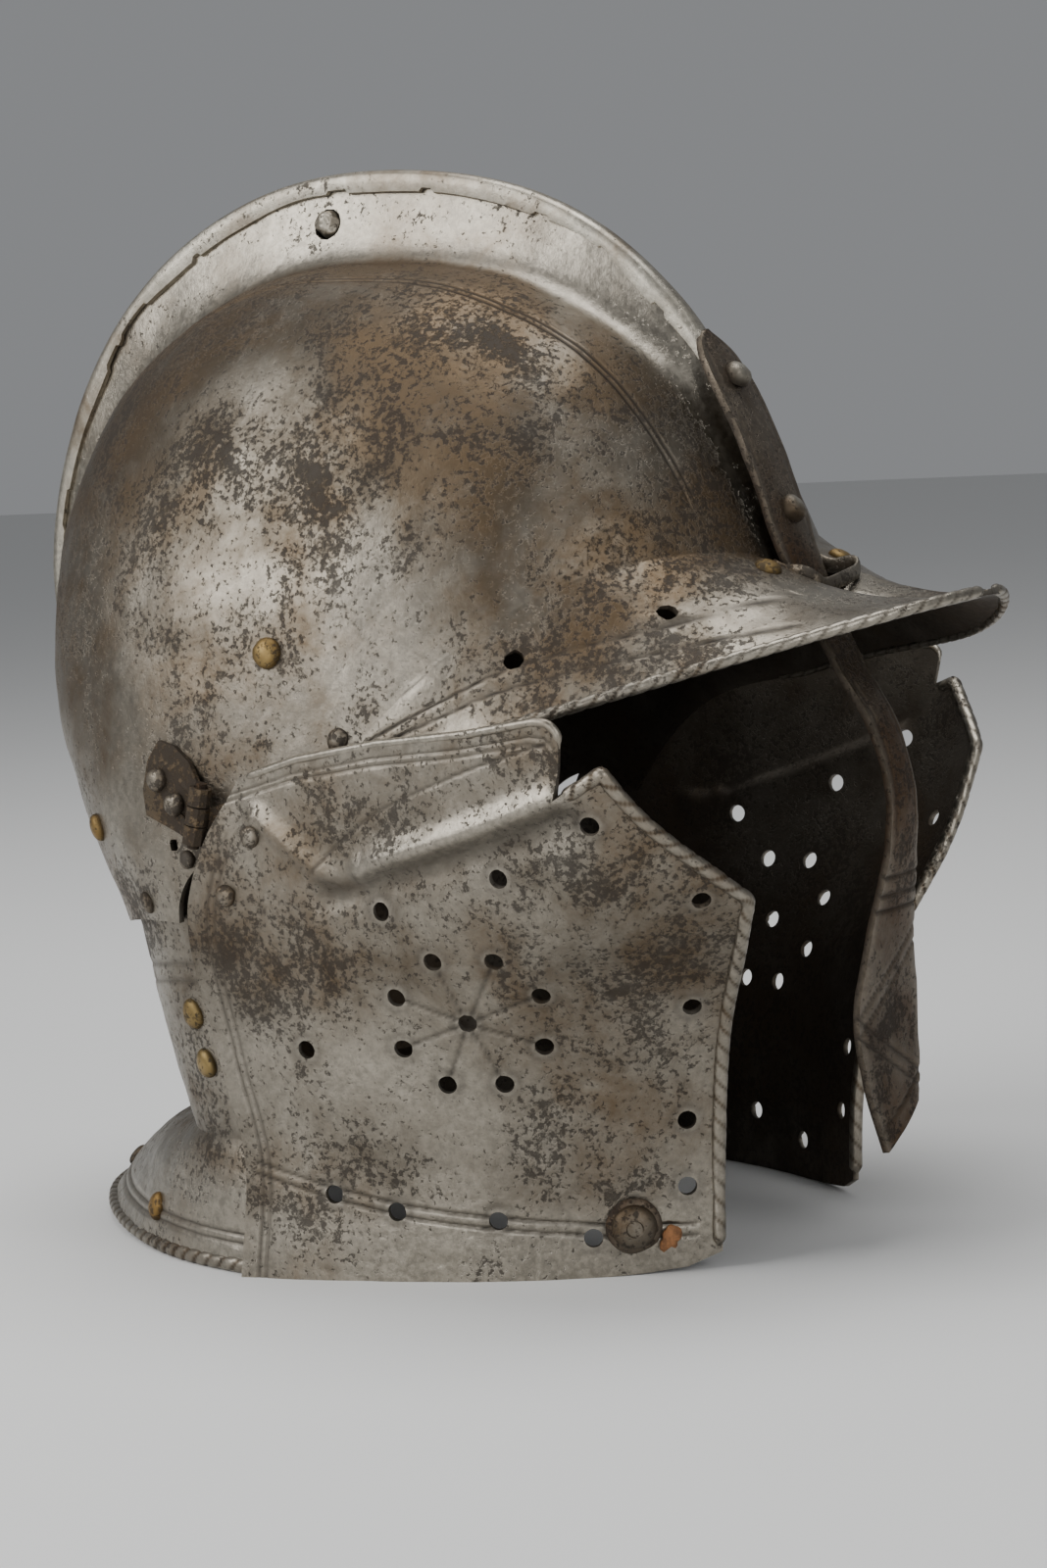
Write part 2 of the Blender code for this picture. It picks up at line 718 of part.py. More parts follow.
def main():
    clear_scene()
    steel = material("worn_steel", (0.42, 0.40, 0.36), 0.42, 1.0)
    dark = material("dark_steel", (0.22, 0.20, 0.18), 0.55, 1.0)
    brass = material("brass_caps", (0.55, 0.42, 0.20), 0.40, 1.0)
    leather = material("leather_rest", (0.42, 0.18, 0.07), 0.85, 0.0)

    # Skull halves, with the peak in one piece with each
    metals = {"steel": steel, "brass": brass}
    halves = {}
    trees = {}
    for side, name, drop in ((-1, "skull_right", 0.0), (1, "skull_left", 0.006)):
        grid = skull_grid(drop)
        grid[:, -1, 0] = -CREST_HALF
        grid[:len(PEAK_SHARES), -1, 0] = -GAP / 2
        thick = np.full(grid.shape[:2], SHEET)
        thick[:2] += (EDGE_ROLL - SHEET) * smooth((PEAK_HALF - 0.004 - np.abs(grid[0, :, 0])) / 0.010)
        inner = grid - normals(grid) * thick[..., None]
        inner[..., 0] = np.minimum(inner[..., 0], -GAP / 2)
        if side > 0:
            grid = mirrored(grid)
            inner = mirrored(inner)
        halves[side] = shell(name, grid, thick, steel, inner=inner)
        trees[side] = tree_of(halves[side])

    over, under = fold_grid()
    fold = shell("fold", over, 0, steel, inner=under)
    fold.hide_render = True
    fold.display_type = "WIRE"
    fuse(halves[1], fold)

    # Slot in the peak's root for the nasal bar, and the holes in the skull
    root_y = EAR_BACK - 0.735 * CREST_RADIUS * math.cos(math.radians(33))
    root_z = EAR_HEIGHT + 0.735 * CREST_RADIUS * math.sin(math.radians(33))
    slot = bpy.data.meshes.new("slot")
    bm = bmesh.new()
    size = Matrix.Diagonal((1.18 * BAR_WIDTH, 0.0115, 0.022, 1.0))
    bmesh.ops.create_cube(bm, size=1.0, matrix=Matrix.Translation((0, root_y - 0.0045, root_z - 0.002)) @ size)
    bm.to_mesh(slot)
    bm.free()
    slot = cutter("slot", slot)
    plug_angle = math.radians(COMB_PLUG[0])
    plug_at = skull_point(np.array(plug_angle), np.array(COMB_PLUG[1]))
    plug_at[0] = 0.0
    hole = prism("comb_hole", Vector(plug_at), (1, 0, 0), PLUG_HOLE, 0.03, 8)
    for side, half in halves.items():
        cut(half, slot)
        tools = [hole]
        for number, (angle, place) in enumerate(SKULL_HOLES):
            spot = skull_point(np.array(math.radians(angle)), np.array(place))
            out = spot - np.array([0.0, EAR_BACK, EAR_HEIGHT])
            if side > 0:
                spot = mirrored(spot)
                out = mirrored(out)
            tools.append(prism("hole", Vector(spot), Vector(out), BREATH_HOLE, 16 * SHEET))
        cut(half, join_cutters("holes_%d" % side, tools))
    across = skull_point(np.array(plug_angle), np.array(COMB_PLUG[1]))[0]
    plug = tube("comb_plug", Vector(plug_at), (1, 0, 0), 2 * abs(across) + 0.002, PLUG_HOLE - 0.0006, 0, 8)
    add_object("comb_plug", plug, dark)

    # Neck guard
    grid = both_ways(guard_grid())
    thick = np.full(grid.shape[:2], SHEET)
    thick[-2:] = EDGE_ROLL * 0.8
    guard = shell("neck_guard", grid, thick, steel)
    guard_tree = tree_of(guard)

    # Nasal bar: a stem on the comb's crest, then free through the peak's slot
    table = np.array(BAR_STATIONS)
    angle = np.radians(np.linspace(BAR_STEM[0], BAR_STEM[1], 6))
    _, crest = section(angle, np.ones(6))
    crest = crest + GAP + BAR_SHEET
    y = np.concatenate([EAR_BACK - crest * np.cos(angle), -PEAK_REACH * table[:, 0]])
    z = np.concatenate([EAR_HEIGHT + crest * np.sin(angle), PEAK_TIP_HEIGHT * table[:, 1]])
    stem = np.array([0.55, 1.0, 1.0, 1.0, 1.0, 0.95])
    width = BAR_WIDTH * np.concatenate([stem, table[:, 2]])
    knots = np.arange(len(y))
    steps = np.linspace(0, len(y) - 1, 29)
    y = cubic(knots, y, steps)
    z = cubic(knots, z, steps)
    width = cubic(knots, width, steps)
    out = np.stack([np.zeros_like(y), np.gradient(z), -np.gradient(y)], -1)
    centres = np.stack([np.zeros_like(y), y, z], -1)
    bar = strip("nasal_bar", centres, out, width, BAR_SHEET, dark)
    bar_tree = tree_of(bar)
    for name, share in (("bar_rivet_upper", 0.22), ("bar_rivet_lower", 0.80)):
        turn = math.radians(BAR_STEM[0] + (BAR_STEM[1] - BAR_STEM[0]) * share)
        out = Vector((0, -math.cos(turn), math.sin(turn)))
        start = Vector((0, EAR_BACK, EAR_HEIGHT)) + out * CREST_RADIUS
        spot, normal = on_surface(bar_tree, start, out)
        dome(name, spot, normal, STEEL_RIVET * 1.05, 0.0030, steel)

    # Rivets on the skull and the neck guard
    for name, (angle, place, share, metal) in SKULL_RIVETS.items():
        for side, word in ((-1, "right"), (1, "left")):
            spot = skull_point(np.array(math.radians(angle)), np.array(place))
            out = spot - np.array([0.0, EAR_BACK, EAR_HEIGHT])
            if side > 0:
                spot = mirrored(spot)
                out = mirrored(out)
            spot, normal = on_surface(trees[side], spot, out)
            radius = STEEL_RIVET * share
            dome(name + "_" + word, spot, normal, radius, radius * 0.55, metals[metal])
    for name, (row, col, share, metal) in GUARD_RIVETS.items():
        for side, word in ((-1, "right"), (1, "left")):
            place = col if side < 0 else grid.shape[1] - 1 - col
            spot = grid_point(grid, row, place)
            out = grid_point(normals(grid), row, place)
            spot, normal = on_surface(guard_tree, spot, out)
            radius = STEEL_RIVET * share
            dome(name + "_" + word, spot, normal, radius, radius * 0.5, metals[metal])

    # Cheekpieces, each with its pieces on its hinge line
    axis = hinge_axis()
    for side, word in ((-1, "right"), (1, "left")):
        centre = Vector((side * HINGE_OUT, HINGE_BACK, HINGE_HEIGHT))
        pivot = bpy.data.objects.new("hinge_line_" + word, None)
        bpy.context.scene.collection.objects.link(pivot)
        pivot.matrix_basis = Matrix.Translation(centre)
        grid = cheek_grid(side)
        thick = np.full(grid.shape[:2], SHEET)
        thick[-1:] = EDGE_ROLL
        inner = grid + normals(grid) * thick[..., None]
        leaf = cheek_leaf_grid()
        under = leaf + np.array([LEAF_SHEET, 0, 0])
        if side > 0:
            grid = mirrored(grid)
            inner = mirrored(inner)
            leaf = mirrored(leaf)
            under = mirrored(under)
        cheek = shell("cheek_" + word, grid, thick, steel, pivot, inner=inner)
        tree = tree_of(cheek)
        tools = []
        petals = [FLOWER]
        for k in range(8):
            a = math.radians(45 * (k + 0.5))
            petals.append((FLOWER[0] + FLOWER_SPREAD[0] * math.cos(a),
                           FLOWER[1] + FLOWER_SPREAD[1] * math.sin(a)))
        for share, height in petals + list(CHEEK_HOLES):
            spot, out = cheek_spot(side, share, height)
            tools.append(prism("hole", Vector(spot), Vector(out), BREATH_HOLE, 0.012))
        holes = join_cutters("breaths_" + word, tools)
        cut(cheek, holes)

        part = BARREL_LENGTH / 3
        cheek_leaf = shell("cheek_leaf_" + word, leaf, 0, dark, pivot, inner=under)
        ring = tube("ring", centre, axis, part - GAP, BARREL_RADIUS, BARREL_BORE)
        fuse(cheek_leaf, cutter("barrel_middle_" + word, ring))
        base = skull_leaf_grid(side, trees[side])
        cover = base + np.array([side * LEAF_SHEET, 0, 0])
        skull_leaf = shell("skull_leaf_" + word, cover, 0, dark, inner=base)
        for end in (-1, 1):
            at = centre + axis * part * end
            ring = tube("ring", at, axis, part - GAP, BARREL_RADIUS, BARREL_BORE)
            fuse(skull_leaf, cutter("barrel_%d_%s" % (end, word), ring))
        rod = tube("rod", centre, axis, BARREL_LENGTH + 0.002, PIN_RADIUS, 0)
        add_object("hinge_pin_" + word, rod, dark)
        leaf_tree = tree_of(skull_leaf)
        for number, (back, up) in enumerate(((0.68, 0.0045), (0.32, 0.0))):
            y, z = hinge_plane(up, BARREL_RADIUS + LEAF_WIDE * back)
            spot, normal = on_surface(leaf_tree, (centre.x, y, z), (side, 0, 0))
            dome("leaf_rivet_%d_%s" % (number + 1, word), spot, normal, STEEL_RIVET * 0.95, 0.0020,
                 steel, lift=2 * GAP)
        for number, (share, height) in enumerate(CHEEK_RIVETS):
            spot, out = cheek_spot(side, share, height)
            spot, normal = on_surface(tree, spot, out)
            dome("cheek_rivet_%d_%s" % (number + 1, word), spot, normal, STEEL_RIVET * 0.9, 0.0016, steel, pivot)
        if side < 0:
            spot, out = cheek_spot(side, *CHIN_STUD)
            spot, normal = on_surface(tree, spot, out)
            seat = spot + normal * (GAP + 0.0006)
            washer = tube("washer", seat, normal, 0.0012, WASHER_RADIUS, 0, 12)
            add_object("chin_washer", washer, dark, pivot)
            dome("chin_stud", spot + normal * (GAP + 0.0012), normal, STUD_RADIUS, 0.0026, steel, pivot, 12)
            spot, out = cheek_spot(side, CHIN_STUD[0] + 0.062, CHIN_STUD[1] - 0.026)
            spot, normal = on_surface(tree, spot, out)
            scrap = prism("scrap", spot + normal * (GAP + 0.0007), normal, 0.0028, 0.0014, 5)
            add_object("leather_scrap", scrap, leather, pivot)


if __name__ == "__main__":
    main()
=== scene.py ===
"""Burgonet, dressed: skull with comb and peak, nasal bar, neck guard, hinged
cheekpieces and their rivets, as worn and pitted old steel on a pale floor.

Metres, +Z up. The face looks along -Y and the wearer's right is -X. The skull
is a fan of half sections about the line from ear to ear: a point on it is an
angle from the brow over the top, and a place from the ear (0) to the crest (1).
"""

import math

import bmesh
import bpy
import numpy as np
from mathutils import Matrix, Vector


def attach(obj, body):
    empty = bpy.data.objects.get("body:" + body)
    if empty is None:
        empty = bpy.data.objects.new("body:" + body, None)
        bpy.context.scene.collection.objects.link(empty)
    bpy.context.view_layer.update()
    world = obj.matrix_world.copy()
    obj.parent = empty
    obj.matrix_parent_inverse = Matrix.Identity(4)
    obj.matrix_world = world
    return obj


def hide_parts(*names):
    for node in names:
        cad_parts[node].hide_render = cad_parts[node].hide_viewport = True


bl_info = {
    "name": "Burgonet",
    "version": (1, 0, 0),
    "blender": (4, 5, 0),
    "location": "View3D > Sidebar > Burgonet",
    "description": "Builds an open steel helmet with a comb, peak and cheekpieces",
    "category": "Add Mesh",
}

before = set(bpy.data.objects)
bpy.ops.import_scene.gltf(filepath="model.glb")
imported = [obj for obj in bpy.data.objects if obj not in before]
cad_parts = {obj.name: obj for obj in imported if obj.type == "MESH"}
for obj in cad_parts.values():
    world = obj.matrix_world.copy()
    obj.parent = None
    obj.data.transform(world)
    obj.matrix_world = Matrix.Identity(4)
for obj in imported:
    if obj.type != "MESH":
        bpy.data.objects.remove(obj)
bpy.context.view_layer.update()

MM = 0.001
HELMET = "helmet"
CHEEK_BODY = {-1: "cheekpiece_right", 1: "cheekpiece_left"}
WORD = {-1: "right", 1: "left"}

# Skull
SKULL_WIDTH = 0.181
CREST_RADIUS = 0.1905
EAR_HEIGHT = 0.090
EAR_BACK = 0.006
EAR_NOTCH = 0.020
COMB_RISE = 0.024
COMB_FOOT = 0.014
CREST_HALF = 0.0018
SKULL_FULLNESS = 2.35
SHEET = 0.0015
GAP = 0.0003
BOWL_SHARE = 9 / 15

# Peak
PEAK_REACH = 0.1640
PEAK_ROOT = 0.038
PEAK_HALF = 0.090
PEAK_TIP_HEIGHT = 0.1665
PEAK_SLOPE = 0.277
PEAK_SAG = 0.004
PEAK_DROP = {-1: 0.0, 1: 0.006}

# Neck guard
GUARD_HALF = 0.0855
GUARD_REACH = 0.114
GUARD_LIFT = 0.003
WAIST_HALF = 0.080
WAIST_REACH = 0.062
WAIST_HEIGHT = 0.034

# Cheekpieces
CHEEK_HALF = 0.088
CHEEK_DEPTH = 0.101
CHEEK_HEIGHT = 0.150

# Nasal bar
BAR_SHEET = 0.0018
BAR_WIDTH = 0.020
BAR_STEM = (57.0, 36.0)

STEEL_RIVET = 0.0032
BREATH_HOLE = 0.0024
PLUG_HOLE = 0.0042
COMB_PLUG = (95.8, 0.84)
FOLD_SPAN = (59.0, 149.0)

# angle in degrees, crest radius share, comb share, fullness share
SKULL_STATIONS = np.array((
    (30.0, 0.730, 0.08, 1.00),
    (40.0, 0.776, 0.16, 1.00),
    (50.0, 0.842, 0.30, 1.00),
    (60.0, 0.910, 0.50, 1.00),
    (72.0, 0.968, 0.78, 1.00),
    (88.0, 0.996, 0.92, 0.98),
    (104.0, 1.000, 0.96, 0.95),
    (118.0, 0.960, 0.95, 0.92),
    (131.0, 0.882, 0.95, 0.88),
    (146.0, 0.762, 0.98, 0.86),
    (160.0, 0.602, 0.70, 0.86),
    (172.0, 0.466, 0.24, 0.86),
    (192.0, 0.378, 0.00, 0.86),
))
# place from ear to crest, brow angle, nape angle
RIM_STATIONS = np.array((
    (0.0, 55.0, 176.0),
    (0.3, 46.0, 183.0),
    (0.6, 38.0, 186.0),
    (1.0, 32.6, 187.0),
))
FLANK = (1.0, 0.74, 0.54, 0.38, 0.26, 0.17, CREST_HALF / COMB_FOOT)
# height share, back edge, front edge, then outward place at five shares
CHEEK_LEVELS = np.array((
    (0.00, 0.135, -1.00, 1.000, 0.925, 0.825, 0.660, 0.460),
    (0.20, 0.105, -1.02, 0.990, 0.935, 0.850, 0.680, 0.470),
    (0.40, 0.150, -1.08, 1.025, 1.005, 0.935, 0.760, 0.530),
    (0.66, 0.175, -1.26, 1.070, 1.090, 1.085, 0.985, 0.722),
    (0.76, 0.110, -1.30, 1.075, 1.110, 1.120, 1.045, 0.800),
    (0.88, -0.020, -1.34, 1.075, 1.115, 1.145, 1.085, 0.870),
    (1.00, -0.090, -1.40, 1.075, 1.120, 1.160, 1.130, 0.950),
))
# height share, reach of the left cheekpiece as a share of the right one's
LEFT_REACH = np.array((
    (0.00, 0.96),
    (0.40, 0.95),
    (0.70, 0.93),
    (0.88, 0.905),
    (1.00, 0.90),
))
CHEEK_SHARES = np.array((0.0, 0.3, 0.55, 0.8, 1.0))
# share of the way forward, bottom, top, as shares of the cheekpiece's height
CHEEK_OUTLINE = {
    -1: np.array((
        (0.00, 0.000, 0.865),
        (0.12, 0.000, 0.900),
        (0.30, 0.000, 0.928),
        (0.50, 0.000, 0.945),
        (0.64, 0.000, 0.965),
        (0.672, 0.000, 0.962),
        (0.690, 0.000, 0.948),
        (0.702, 0.000, 0.922),
        (0.709, 0.000, 0.885),
        (0.715, 0.000, 0.840),
        (0.785, 0.000, 0.885),
        (0.86, 0.002, 0.800),
        (0.94, 0.008, 0.715),
        (1.00, 0.030, 0.650),
    )),
    1: np.array((
        (0.00, 0.000, 0.865),
        (0.12, 0.000, 0.900),
        (0.30, 0.000, 0.928),
        (0.50, 0.000, 0.945),
        (0.75, 0.000, 0.965),
        (0.778, 0.000, 0.962),
        (0.794, 0.000, 0.952),
        (0.804, 0.000, 0.936),
        (0.810, 0.000, 0.915),
        (0.815, 0.001, 0.890),
        (0.865, 0.002, 0.905),
        (0.91, 0.005, 0.870),
        (0.955, 0.010, 0.835),
        (1.00, 0.030, 0.795),
    )),
}
# forward and height below the peak, and width, as shares of the bar's sizes
BAR_STATIONS = np.array((
    (0.728, 0.955, 0.78),
    (0.760, 0.890, 0.72),
    (0.812, 0.800, 0.70),
    (0.838, 0.700, 0.72),
    (0.832, 0.600, 0.80),
    (0.808, 0.480, 1.20),
    (0.795, 0.360, 1.66),
    (0.800, 0.260, 1.45),
    (0.812, 0.150, 0.90),
))
SKULL_HOLES = ((41.1, 0.264), (35.0, 0.417))
FLOWER = (0.573, 0.454)
FLOWER_SPREAD = (0.146, 0.118)
CHEEK_HOLES = (
    (0.413, 0.647),
    (0.633, 0.706),
    (0.222, 0.404),
    (0.780, 0.790),
    (0.935, 0.655),
    (0.940, 0.463),
    (0.940, 0.261),
    (0.940, 0.147),
    (0.773, 0.069),
    (0.587, 0.105),
    (0.367, 0.122),
    (0.219, 0.150),
)

# Lines cut into the steel, as (depth, height) in mm on the side view
COMB_LINES = (0.534, 0.543)  # places of the double line beside the comb
TORN_SLOT = (0.0245, 0.1115)  # where a strap's slot behind the near hinge leaf is, from the side
BROW_LINES = (
    ((-35.0, 138.2), (-65.0, 152.9), (-85.0, 159.0), (-103.5, 162.5), (-114.0, 165.7), (-124.0, 168.2)),
    ((-41.0, 138.2), (-66.0, 148.7), (-88.6, 154.3), (-105.8, 156.9), (-117.7, 159.6), (-131.0, 161.6)),
)
CHEEK_CURVES = (
    ((-23.2, 106.7), (-31.7, 114.3), (-43.0, 121.7), (-58.5, 127.8), (-73.4, 132.9), (-94.3, 138.8)),
    ((7.5, 30.0), (-12.0, 24.5), (-35.0, 19.5), (-48.6, 17.5), (-78.9, 13.6), (-96.0, 12.0)),
    ((7.5, 27.0), (-12.0, 21.5), (-35.0, 16.5), (-48.6, 14.5), (-78.9, 10.6), (-96.0, 9.0)),
)
RIDGE_HEIGHT = 0.0034
RECESS_DEPTH = 0.0024
TAB_RIDGE = ((-38.0, 106.5), (-44.6, 109.7), (-71.1, 117.4), (-94.6, 125.7))
TAB_RECESS = ((-25.7, 100.5), (-56.3, 108.2), (-82.0, 115.6), (-96.0, 120.0))
CORNER_RIDGE = ((-6.3, 119.8), (-23.3, 107.9), (-31.0, 104.0))


class BurgonetSizes(bpy.types.PropertyGroup):
    """Sizes of the worked edges and of the wear."""

    roll: bpy.props.FloatProperty(
        name="Edge roll", description="Radius of a turned and roped edge",
        default=0.0021, min=0.001, max=0.004, unit="LENGTH", subtype="DISTANCE")
    rope_pitch: bpy.props.FloatProperty(
        name="Rope pitch", description="Length of one strand along a roped edge",
        default=0.0052, min=0.002, max=0.01, unit="LENGTH", subtype="DISTANCE")
    rope_depth: bpy.props.FloatProperty(
        name="Rope depth", description="Depth of the cuts as a share of the roll's radius",
        default=0.16, min=0.0, max=0.6, subtype="FACTOR")
    line_depth: bpy.props.FloatProperty(
        name="Line depth", description="Depth of the cut border lines",
        default=0.00040, min=0.0, max=0.002, unit="LENGTH", subtype="DISTANCE")
    line_width: bpy.props.FloatProperty(
        name="Line width", description="Half width of a cut border line",
        default=0.00050, min=0.0002, max=0.002, unit="LENGTH", subtype="DISTANCE")
    hammer: bpy.props.FloatProperty(
        name="Hammer marks", description="Height of the waves left by the hammer",
        default=0.00040, min=0.0, max=0.002, unit="LENGTH", subtype="DISTANCE")
    pits: bpy.props.FloatProperty(
        name="Pits", description="Depth of the corroded pits",
        default=0.00022, min=0.0, max=0.001, unit="LENGTH", subtype="DISTANCE")


class BurgonetColours(bpy.types.PropertyGroup):
    """Colours of the metals, the leather and the floor."""

    bright: bpy.props.FloatVectorProperty(
        name="Rubbed steel", description="Steel where it is rubbed bright",
        default=(0.385, 0.350, 0.290), size=3, min=0, max=1, subtype="COLOR")
    patina: bpy.props.FloatVectorProperty(
        name="Patina", description="Brown film on the steel",
        default=(0.088, 0.072, 0.053), size=3, min=0, max=1, subtype="COLOR")
    # The grime colour also paints shade at the comb's foot and in the recess under the cheek's tab ridge.
    grime: bpy.props.FloatVectorProperty(
        name="Grime", description="Rust and dirt in pits and corners",
        default=(0.020, 0.015, 0.011), size=3, min=0, max=1, subtype="COLOR")
    brass: bpy.props.FloatVectorProperty(
        name="Brass", description="Caps of the lining rivets",
        default=(0.46, 0.33, 0.14), size=3, min=0, max=1, subtype="COLOR")
    leather: bpy.props.FloatVectorProperty(
        name="Leather", description="Rest of a strap under the chin stud",
        default=(0.31, 0.135, 0.05), size=3, min=0, max=1, subtype="COLOR")
    floor: bpy.props.FloatVectorProperty(
        name="Floor", description="Pale studio floor",
        default=(0.74, 0.74, 0.73), size=3, min=0, max=1, subtype="COLOR")


# Curves and noise


def cubic(xs, ys, x):
    """Smooth curve through the points (xs, ys), read at x: cubic Hermite pieces
    whose slope at a knot is the weighted mean of the chords beside it."""
    xs = np.asarray(xs, float)
    ys = np.asarray(ys, float)
    x = np.clip(np.asarray(x, float), xs[0], xs[-1])
    wide = np.diff(xs)
    chord = np.diff(ys) / wide
    slope = np.empty_like(ys)
    slope[0] = chord[0]
    slope[-1] = chord[-1]
    slope[1:-1] = (chord[:-1] * wide[1:] + chord[1:] * wide[:-1]) / (wide[1:] + wide[:-1])
    i = np.clip(np.searchsorted(xs, x) - 1, 0, len(xs) - 2)
    step = wide[i]
    t = (x - xs[i]) / step
    start = ys[i] * (1 + 2 * t) * (1 - t) ** 2 + slope[i] * step * t * (1 - t) ** 2
    end = ys[i + 1] * t * t * (3 - 2 * t) + slope[i + 1] * step * t * t * (t - 1)
    return start + end


def smooth(t):
    """Ease from 0 to 1: 3t^2 - 2t^3 on the clipped t."""
    t = np.clip(t, 0.0, 1.0)
    return t * t * (3 - 2 * t)


def spread(count, start, stop, spots=(), width=0.02, strength=4.0):
    """Parameters from start to stop that stand closer near the given spots: the
    running total of 1 plus a bell at each spot, turned round."""
    fine = np.linspace(start, stop, 4000)
    density = np.ones_like(fine)
    for spot in spots:
        density += strength * np.exp(-(((fine - spot) / width) ** 2))
    total = np.concatenate([[0], np.cumsum((density[1:] + density[:-1]) / 2)])
    return np.interp(np.linspace(0, total[-1], count), total, fine)


def lattice(cell, seed):
    """Random number from -1 to 1 for each whole-number cell, by mixing its three
    numbers with large odd ones."""
    h = cell[..., 0] * 374761393 + cell[..., 1] * 668265263 + cell[..., 2] * 1274126177 + seed * 974634777
    h = h & 0xFFFFFFFF
    h = ((h ^ (h >> 13)) * 1103515245) & 0xFFFFFFFF
    h = ((h ^ (h >> 16)) * 2654435761) & 0xFFFFFFFF
    return (h ^ (h >> 15)) / 2147483648.0 - 1.0


def noise(points, size, seed):
    """Value noise: numbers at the corners of cells of the given size, eased
    between along all three axes."""
    p = points / size
    cell = np.floor(p).astype(np.int64)
    t = smooth(p - cell)
    total = 0
    for i in (0, 1):
        for j in (0, 1):
            for k in (0, 1):
                weight = np.abs(1 - i - t[..., 0]) * np.abs(1 - j - t[..., 1]) * np.abs(1 - k - t[..., 2])
                total = total + weight * lattice(cell + np.array([i, j, k]), seed)
    return total


def line_distance(y, z, line):
    """Distance in metres from points of the side view to a bent line in mm: the
    least distance to any of its stretches."""
    best = np.full(np.shape(y), 1.0)
    for (ay, az), (by, bz) in zip(line[:-1], line[1:]):
        dy, dz = by - ay, bz - az
        t = ((y / MM - ay) * dy + (z / MM - az) * dz) / (dy * dy + dz * dz)
        t = np.clip(t, 0, 1)
        away = np.hypot(y / MM - ay - t * dy, z / MM - az - t * dz) * MM
        best = np.minimum(best, away)
    return best


def bell(distance, width):
    """1 on a line, falling off as a bell to both sides."""
    return np.exp(-((distance / width) ** 2))


def normals(grid):
    """Unit cross product of the directions across and along the grid."""
    n = np.cross(np.gradient(grid, axis=1), np.gradient(grid, axis=0))
    return n / np.maximum(np.linalg.norm(n, axis=-1, keepdims=True), 1e-12)


def mirrored(points):
    return points * np.array([-1.0, 1.0, 1.0])


# Surfaces


def section(angle, place):
    """Half width and radius on the skull: a superellipse from the ear to the
    comb's foot, then the comb's flank, whose lift is the cube of its share."""
    half = SKULL_WIDTH / 2
    degrees = np.degrees(angle)
    crest = CREST_RADIUS * cubic(SKULL_STATIONS[:, 0], SKULL_STATIONS[:, 1], degrees)
    comb = COMB_RISE * cubic(SKULL_STATIONS[:, 0], SKULL_STATIONS[:, 2], degrees)
    bowl = crest - comb
    power = 2 / (SKULL_FULLNESS * cubic(SKULL_STATIONS[:, 0], SKULL_STATIONS[:, 3], degrees))
    low = np.arcsin((EAR_NOTCH / bowl) ** (1 / power))
    high = np.arccos((COMB_FOOT / half) ** (1 / power))
    theta = low + (high - low) * np.clip(place / BOWL_SHARE, 0, 1)
    flank = cubic(np.linspace(0, 1, len(FLANK)), FLANK, (place - BOWL_SHARE) / (1 - BOWL_SHARE))
    wide = np.where(place <= BOWL_SHARE, half * np.cos(theta) ** power, COMB_FOOT * flank)
    round_part = bowl * np.sin(np.arccos(np.clip((wide / half) ** (1 / power), 0, 1))) ** power
    lift = np.clip((COMB_FOOT - wide) / (COMB_FOOT - CREST_HALF), 0, 1) ** 3.0
    return wide, round_part + comb * lift


def skull_point(angle, place):
    """Point on the right half: its section turned about the ear line."""
    wide, radius = section(angle, place)
    return np.stack([-wide, EAR_BACK - radius * np.cos(angle), EAR_HEIGHT + radius * np.sin(angle)], -1)


def rim_angles(place):
    brow = np.radians(cubic(RIM_STATIONS[:, 0], RIM_STATIONS[:, 1], place))
    nape = np.radians(cubic(RIM_STATIONS[:, 0], RIM_STATIONS[:, 2], place))
    return brow, nape


def peak_edge(root, drop):
    """Edge of the peak outside each point of the brow line: a pointed plan whose
    height falls evenly towards the ears."""
    x = np.abs(root[:, 0])
    inside = np.clip(1 - (x / PEAK_HALF) ** 1.9, 0, 1)
    y = -(PEAK_ROOT + (PEAK_REACH - PEAK_ROOT) * inside ** 0.72)
    y = np.minimum(y, root[:, 1] - 0.004)
    z = PEAK_TIP_HEIGHT - PEAK_SLOPE * (PEAK_REACH + y)
    z = z - drop * np.sin(np.pi * np.clip(x / PEAK_HALF, 0, 1)) ** 2
    far = np.stack([root[:, 0], y, z], -1)
    near = root + np.array([0.0, -0.0025, -0.0020])
    share = smooth((PEAK_HALF - 0.0005 - x) / 0.006)[:, None]
    return near * (1 - share) + far * share


def cheek_outward(share, h):
    """Outward place of the cheekpiece: five curves over the height, joined
    across by the same cubic."""
    total = 0
    for k, unit in enumerate(np.eye(5)):
        total = total + cubic(CHEEK_LEVELS[:, 0], CHEEK_LEVELS[:, 3 + k], h) * cubic(CHEEK_SHARES, unit, share)
    return total


def cheek_surface(share, height):
    """Outside of the right cheekpiece: depth between its back and front edges,
    and the outward place, at a height in metres."""
    h = height / CHEEK_HEIGHT
    back = CHEEK_DEPTH * cubic(CHEEK_LEVELS[:, 0], CHEEK_LEVELS[:, 1], h)
    front = CHEEK_DEPTH * cubic(CHEEK_LEVELS[:, 0], CHEEK_LEVELS[:, 2], h)
    y = back + (front - back) * share
    return np.stack([-CHEEK_HALF * cheek_outward(share, h), y, height + 0 * y], -1)


